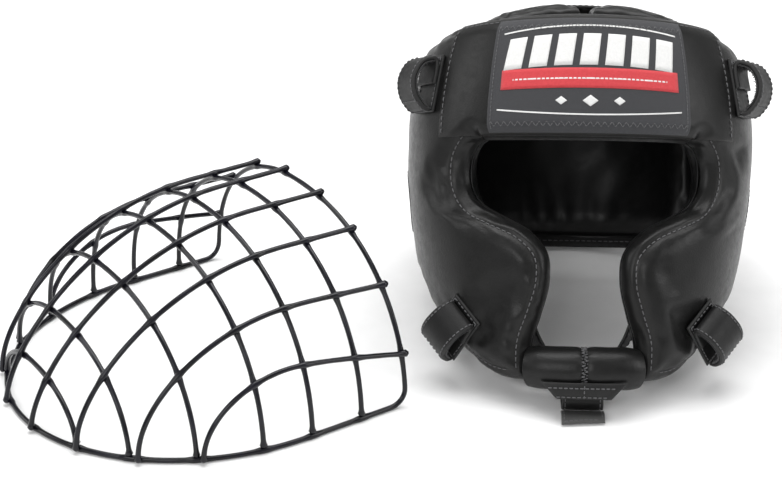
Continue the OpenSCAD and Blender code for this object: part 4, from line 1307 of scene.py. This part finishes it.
def cross_wire(x):
    w, h = float(rim_half_w(x)), float(dome_h(x))
    foot = math.degrees(math.asin(((WIRE_D + 0.2) / h) ** (ARCH_POWER / 2)))
    p = superellipse(w, h, mix(foot, 180 - foot, span(300)))
    return smoothed(evenly(np.stack([np.full(301, float(x)), p[:, 0], p[:, 1]], -1), 1.6), 4)


def rim_wire():
    corner = WIRE_R + CORNER_R
    foot = math.degrees(math.asin((corner / CAGE_H) ** (ARCH_POWER / 2)))
    q = np.linspace(90, -90, 120)
    chin = np.stack([STRAIGHT_LEN + CURVED_LEN * cos_d(q), CAGE_HALF_W * sin_d(q), WIRE_R + 0 * q], -1)
    q = np.linspace(0, 80, 12)
    up = WIRE_R + CORNER_R * (1 - cos_d(q))
    bend = np.stack([CORNER_R * (1 - sin_d(q)), CAGE_HALF_W + 0 * q, up], -1)
    p = superellipse(CAGE_HALF_W, CAGE_H, np.linspace(180 - foot, foot, 200))
    arch = np.stack([0 * p[:, 0], p[:, 0], p[:, 1]], -1)
    path = np.concatenate([chin, bend * np.array([1, -1, 1]), arch, bend[::-1]])
    return smoothed(evenly(path, 1.6, closed=True), 3, closed=True)


def tube(line, r, closed, sides=14):
    """A round tube along a line with a radius at each point."""
    ahead = np.roll(line, -1, axis=0) - np.roll(line, 1, axis=0)
    if not closed:
        ahead[0], ahead[-1] = line[1] - line[0], line[-1] - line[-2]
    ahead = unit(ahead)
    middle = np.array([CAGE_LEN * 0.35, 0, -40.0])
    out = line - middle
    out = unit(out - (out * ahead).sum(-1, keepdims=True) * ahead)
    beside = np.cross(ahead, out)
    turn = np.arange(sides) * 2 * math.pi / sides
    rings = line[:, None] + r[:, None, None] * (np.cos(turn)[None, :, None] * out[:, None]
                                                + np.sin(turn)[None, :, None] * beside[:, None])
    n = len(line)
    if closed:
        i = np.arange(n * sides).reshape(n, sides)
        j, k = np.roll(i, -1, axis=0), np.roll(i, -1, axis=1)
        quads = np.stack([i, k, np.roll(j, -1, axis=1), j], -1).reshape(-1, 4).tolist()
        return rings.reshape(-1, 3), quads
    return np.concatenate([rings.reshape(-1, 3), line[:1], line[-1:]]), capped_tube(n, sides)


def coated(lines, number, closed):
    """A wire's radius: its dip coat is uneven, gathers at the welds and rounds off the ends."""
    line = lines[number]
    others = np.concatenate([l for k, l in enumerate(lines) if k != number])
    near = np.min(np.linalg.norm(line[:, None] - others[None], axis=-1), axis=1)
    gather = np.clip((9 - near) / (9 - WELD), 0, 1) ** 3
    r = WIRE_R + 0.5 * gather + 0.05 * ripple(line, 14, 91 + number)
    if not closed:
        s = np.minimum(np.arange(len(line)), np.arange(len(line))[::-1]) * 1.6
        r = (r + 0.35 * bump_at(s, 1.6, 1.6)) * np.sqrt(1 - (1 - np.clip((s + 0.35) / 2, 0, 1)) ** 2)
    return r


def make_cage():
    lines = [rim_wire()] + [long_wire(w, s) for w in LONG_WIRES for s in (-1, 1)]
    lines += [cross_wire(x) for x in CROSS_WIRES]
    groups = (("cage_rim_wire", "cage_rim", range(0, 1)), ("cage_face_wires", "cage_long_wires", range(1, 9)),
              ("cage_hoop_wires", "cage_cross_wires", range(9, 15)))
    for name, node, numbers in groups:
        points, faces, n = [], [], 0
        for number in numbers:
            closed = number == 0
            p, f = tube(lines[number], coated(lines, number, closed), closed)
            points.append(p)
            faces += [[i + n for i in face] for face in f]
            n += len(p)
        add(new_mesh(name, from_cage(np.concatenate(points)), faces), WIRE, "cage", "coated_wire", node)


# ---------- Studio ----------

def make_floor():
    mesh = bpy.data.meshes.new("floor")
    far, rise = 14.0, 2.5
    profile = [(-far, 0), (1.6, 0), (2.3, 0.08), (2.9, 0.35), (3.3, 0.9), (3.4, rise)]
    points = [(x, y, z - 0.0002) for y, z in profile for x in (-far, far)]
    faces = [(2 * i, 2 * i + 1, 2 * i + 3, 2 * i + 2) for i in range(len(profile) - 1)]
    mesh.from_pydata(points, [], faces)
    mesh.polygons.foreach_set("use_smooth", [True] * len(faces))
    floor = bpy.data.objects.new("floor", mesh)
    floor.data.materials.append(floor_paper("floor_paper"))
    bpy.context.scene.collection.objects.link(floor)


def area_light(name, place, target, size, power):
    light = bpy.data.lights.new(name, "AREA")
    light.shape, light.size, light.size_y = "RECTANGLE", size[0], size[1]
    light.energy = power
    lamp = bpy.data.objects.new(name, light)
    lamp.location = place
    lamp.rotation_euler = (Vector(target) - Vector(place)).to_track_quat("-Z", "Y").to_euler()
    bpy.context.scene.collection.objects.link(lamp)


def make_studio():
    make_floor()
    target = (0.02, -0.02, 0.1)
    softboxes = (("overhead", (0.0, 0.35, 1.7), (1.8, 1.3), 34), ("front", (-0.7, -1.6, 1.1), (1.2, 0.9), 12),
                 ("right", (1.7, -0.5, 0.9), (0.9, 1.1), 10), ("left", (-1.8, 0.1, 0.9), (0.9, 1.1), 8))
    for name, place, size, power in softboxes:
        area_light(name + "_softbox", place, target, size, power)
    world = bpy.data.worlds.new("pale_room")
    world.use_nodes = True
    world.node_tree.nodes["Background"].inputs["Color"].default_value = (1, 1, 1, 1)
    world.node_tree.nodes["Background"].inputs["Strength"].default_value = 0.45
    bpy.context.scene.world = world
    bpy.context.scene.view_settings.view_transform = "Standard"


def make_camera():
    """The picture's view: from in front, 27 degrees up, with a long lens."""
    azimuth, elevation, distance = math.radians(2.3), math.radians(27), 1.2
    target = Vector((0.0055, -0.06325, 0.1))
    level = math.cos(elevation)
    back = Vector((math.sin(azimuth) * level, -math.cos(azimuth) * level, math.sin(elevation)))
    camera = bpy.data.objects.new("camera", bpy.data.cameras.new("camera"))
    camera.data.lens, camera.data.sensor_width = 85, 36
    camera.location = target + back * distance
    camera.rotation_euler = (-back).to_track_quat("-Z", "Y").to_euler()
    bpy.context.scene.collection.objects.link(camera)
    bpy.context.scene.camera = camera


make_camera()
make_studio()
make_pads()
make_pad_stitches()
make_forehead()
make_chin()
make_binding()
make_back_closure()
make_crown_closure()
for word, side in SIDES.items():
    make_ear(word, side)
    make_gusset(word, side)
    for level in LOOPS:
        make_loop(level, word, side)
make_cage()
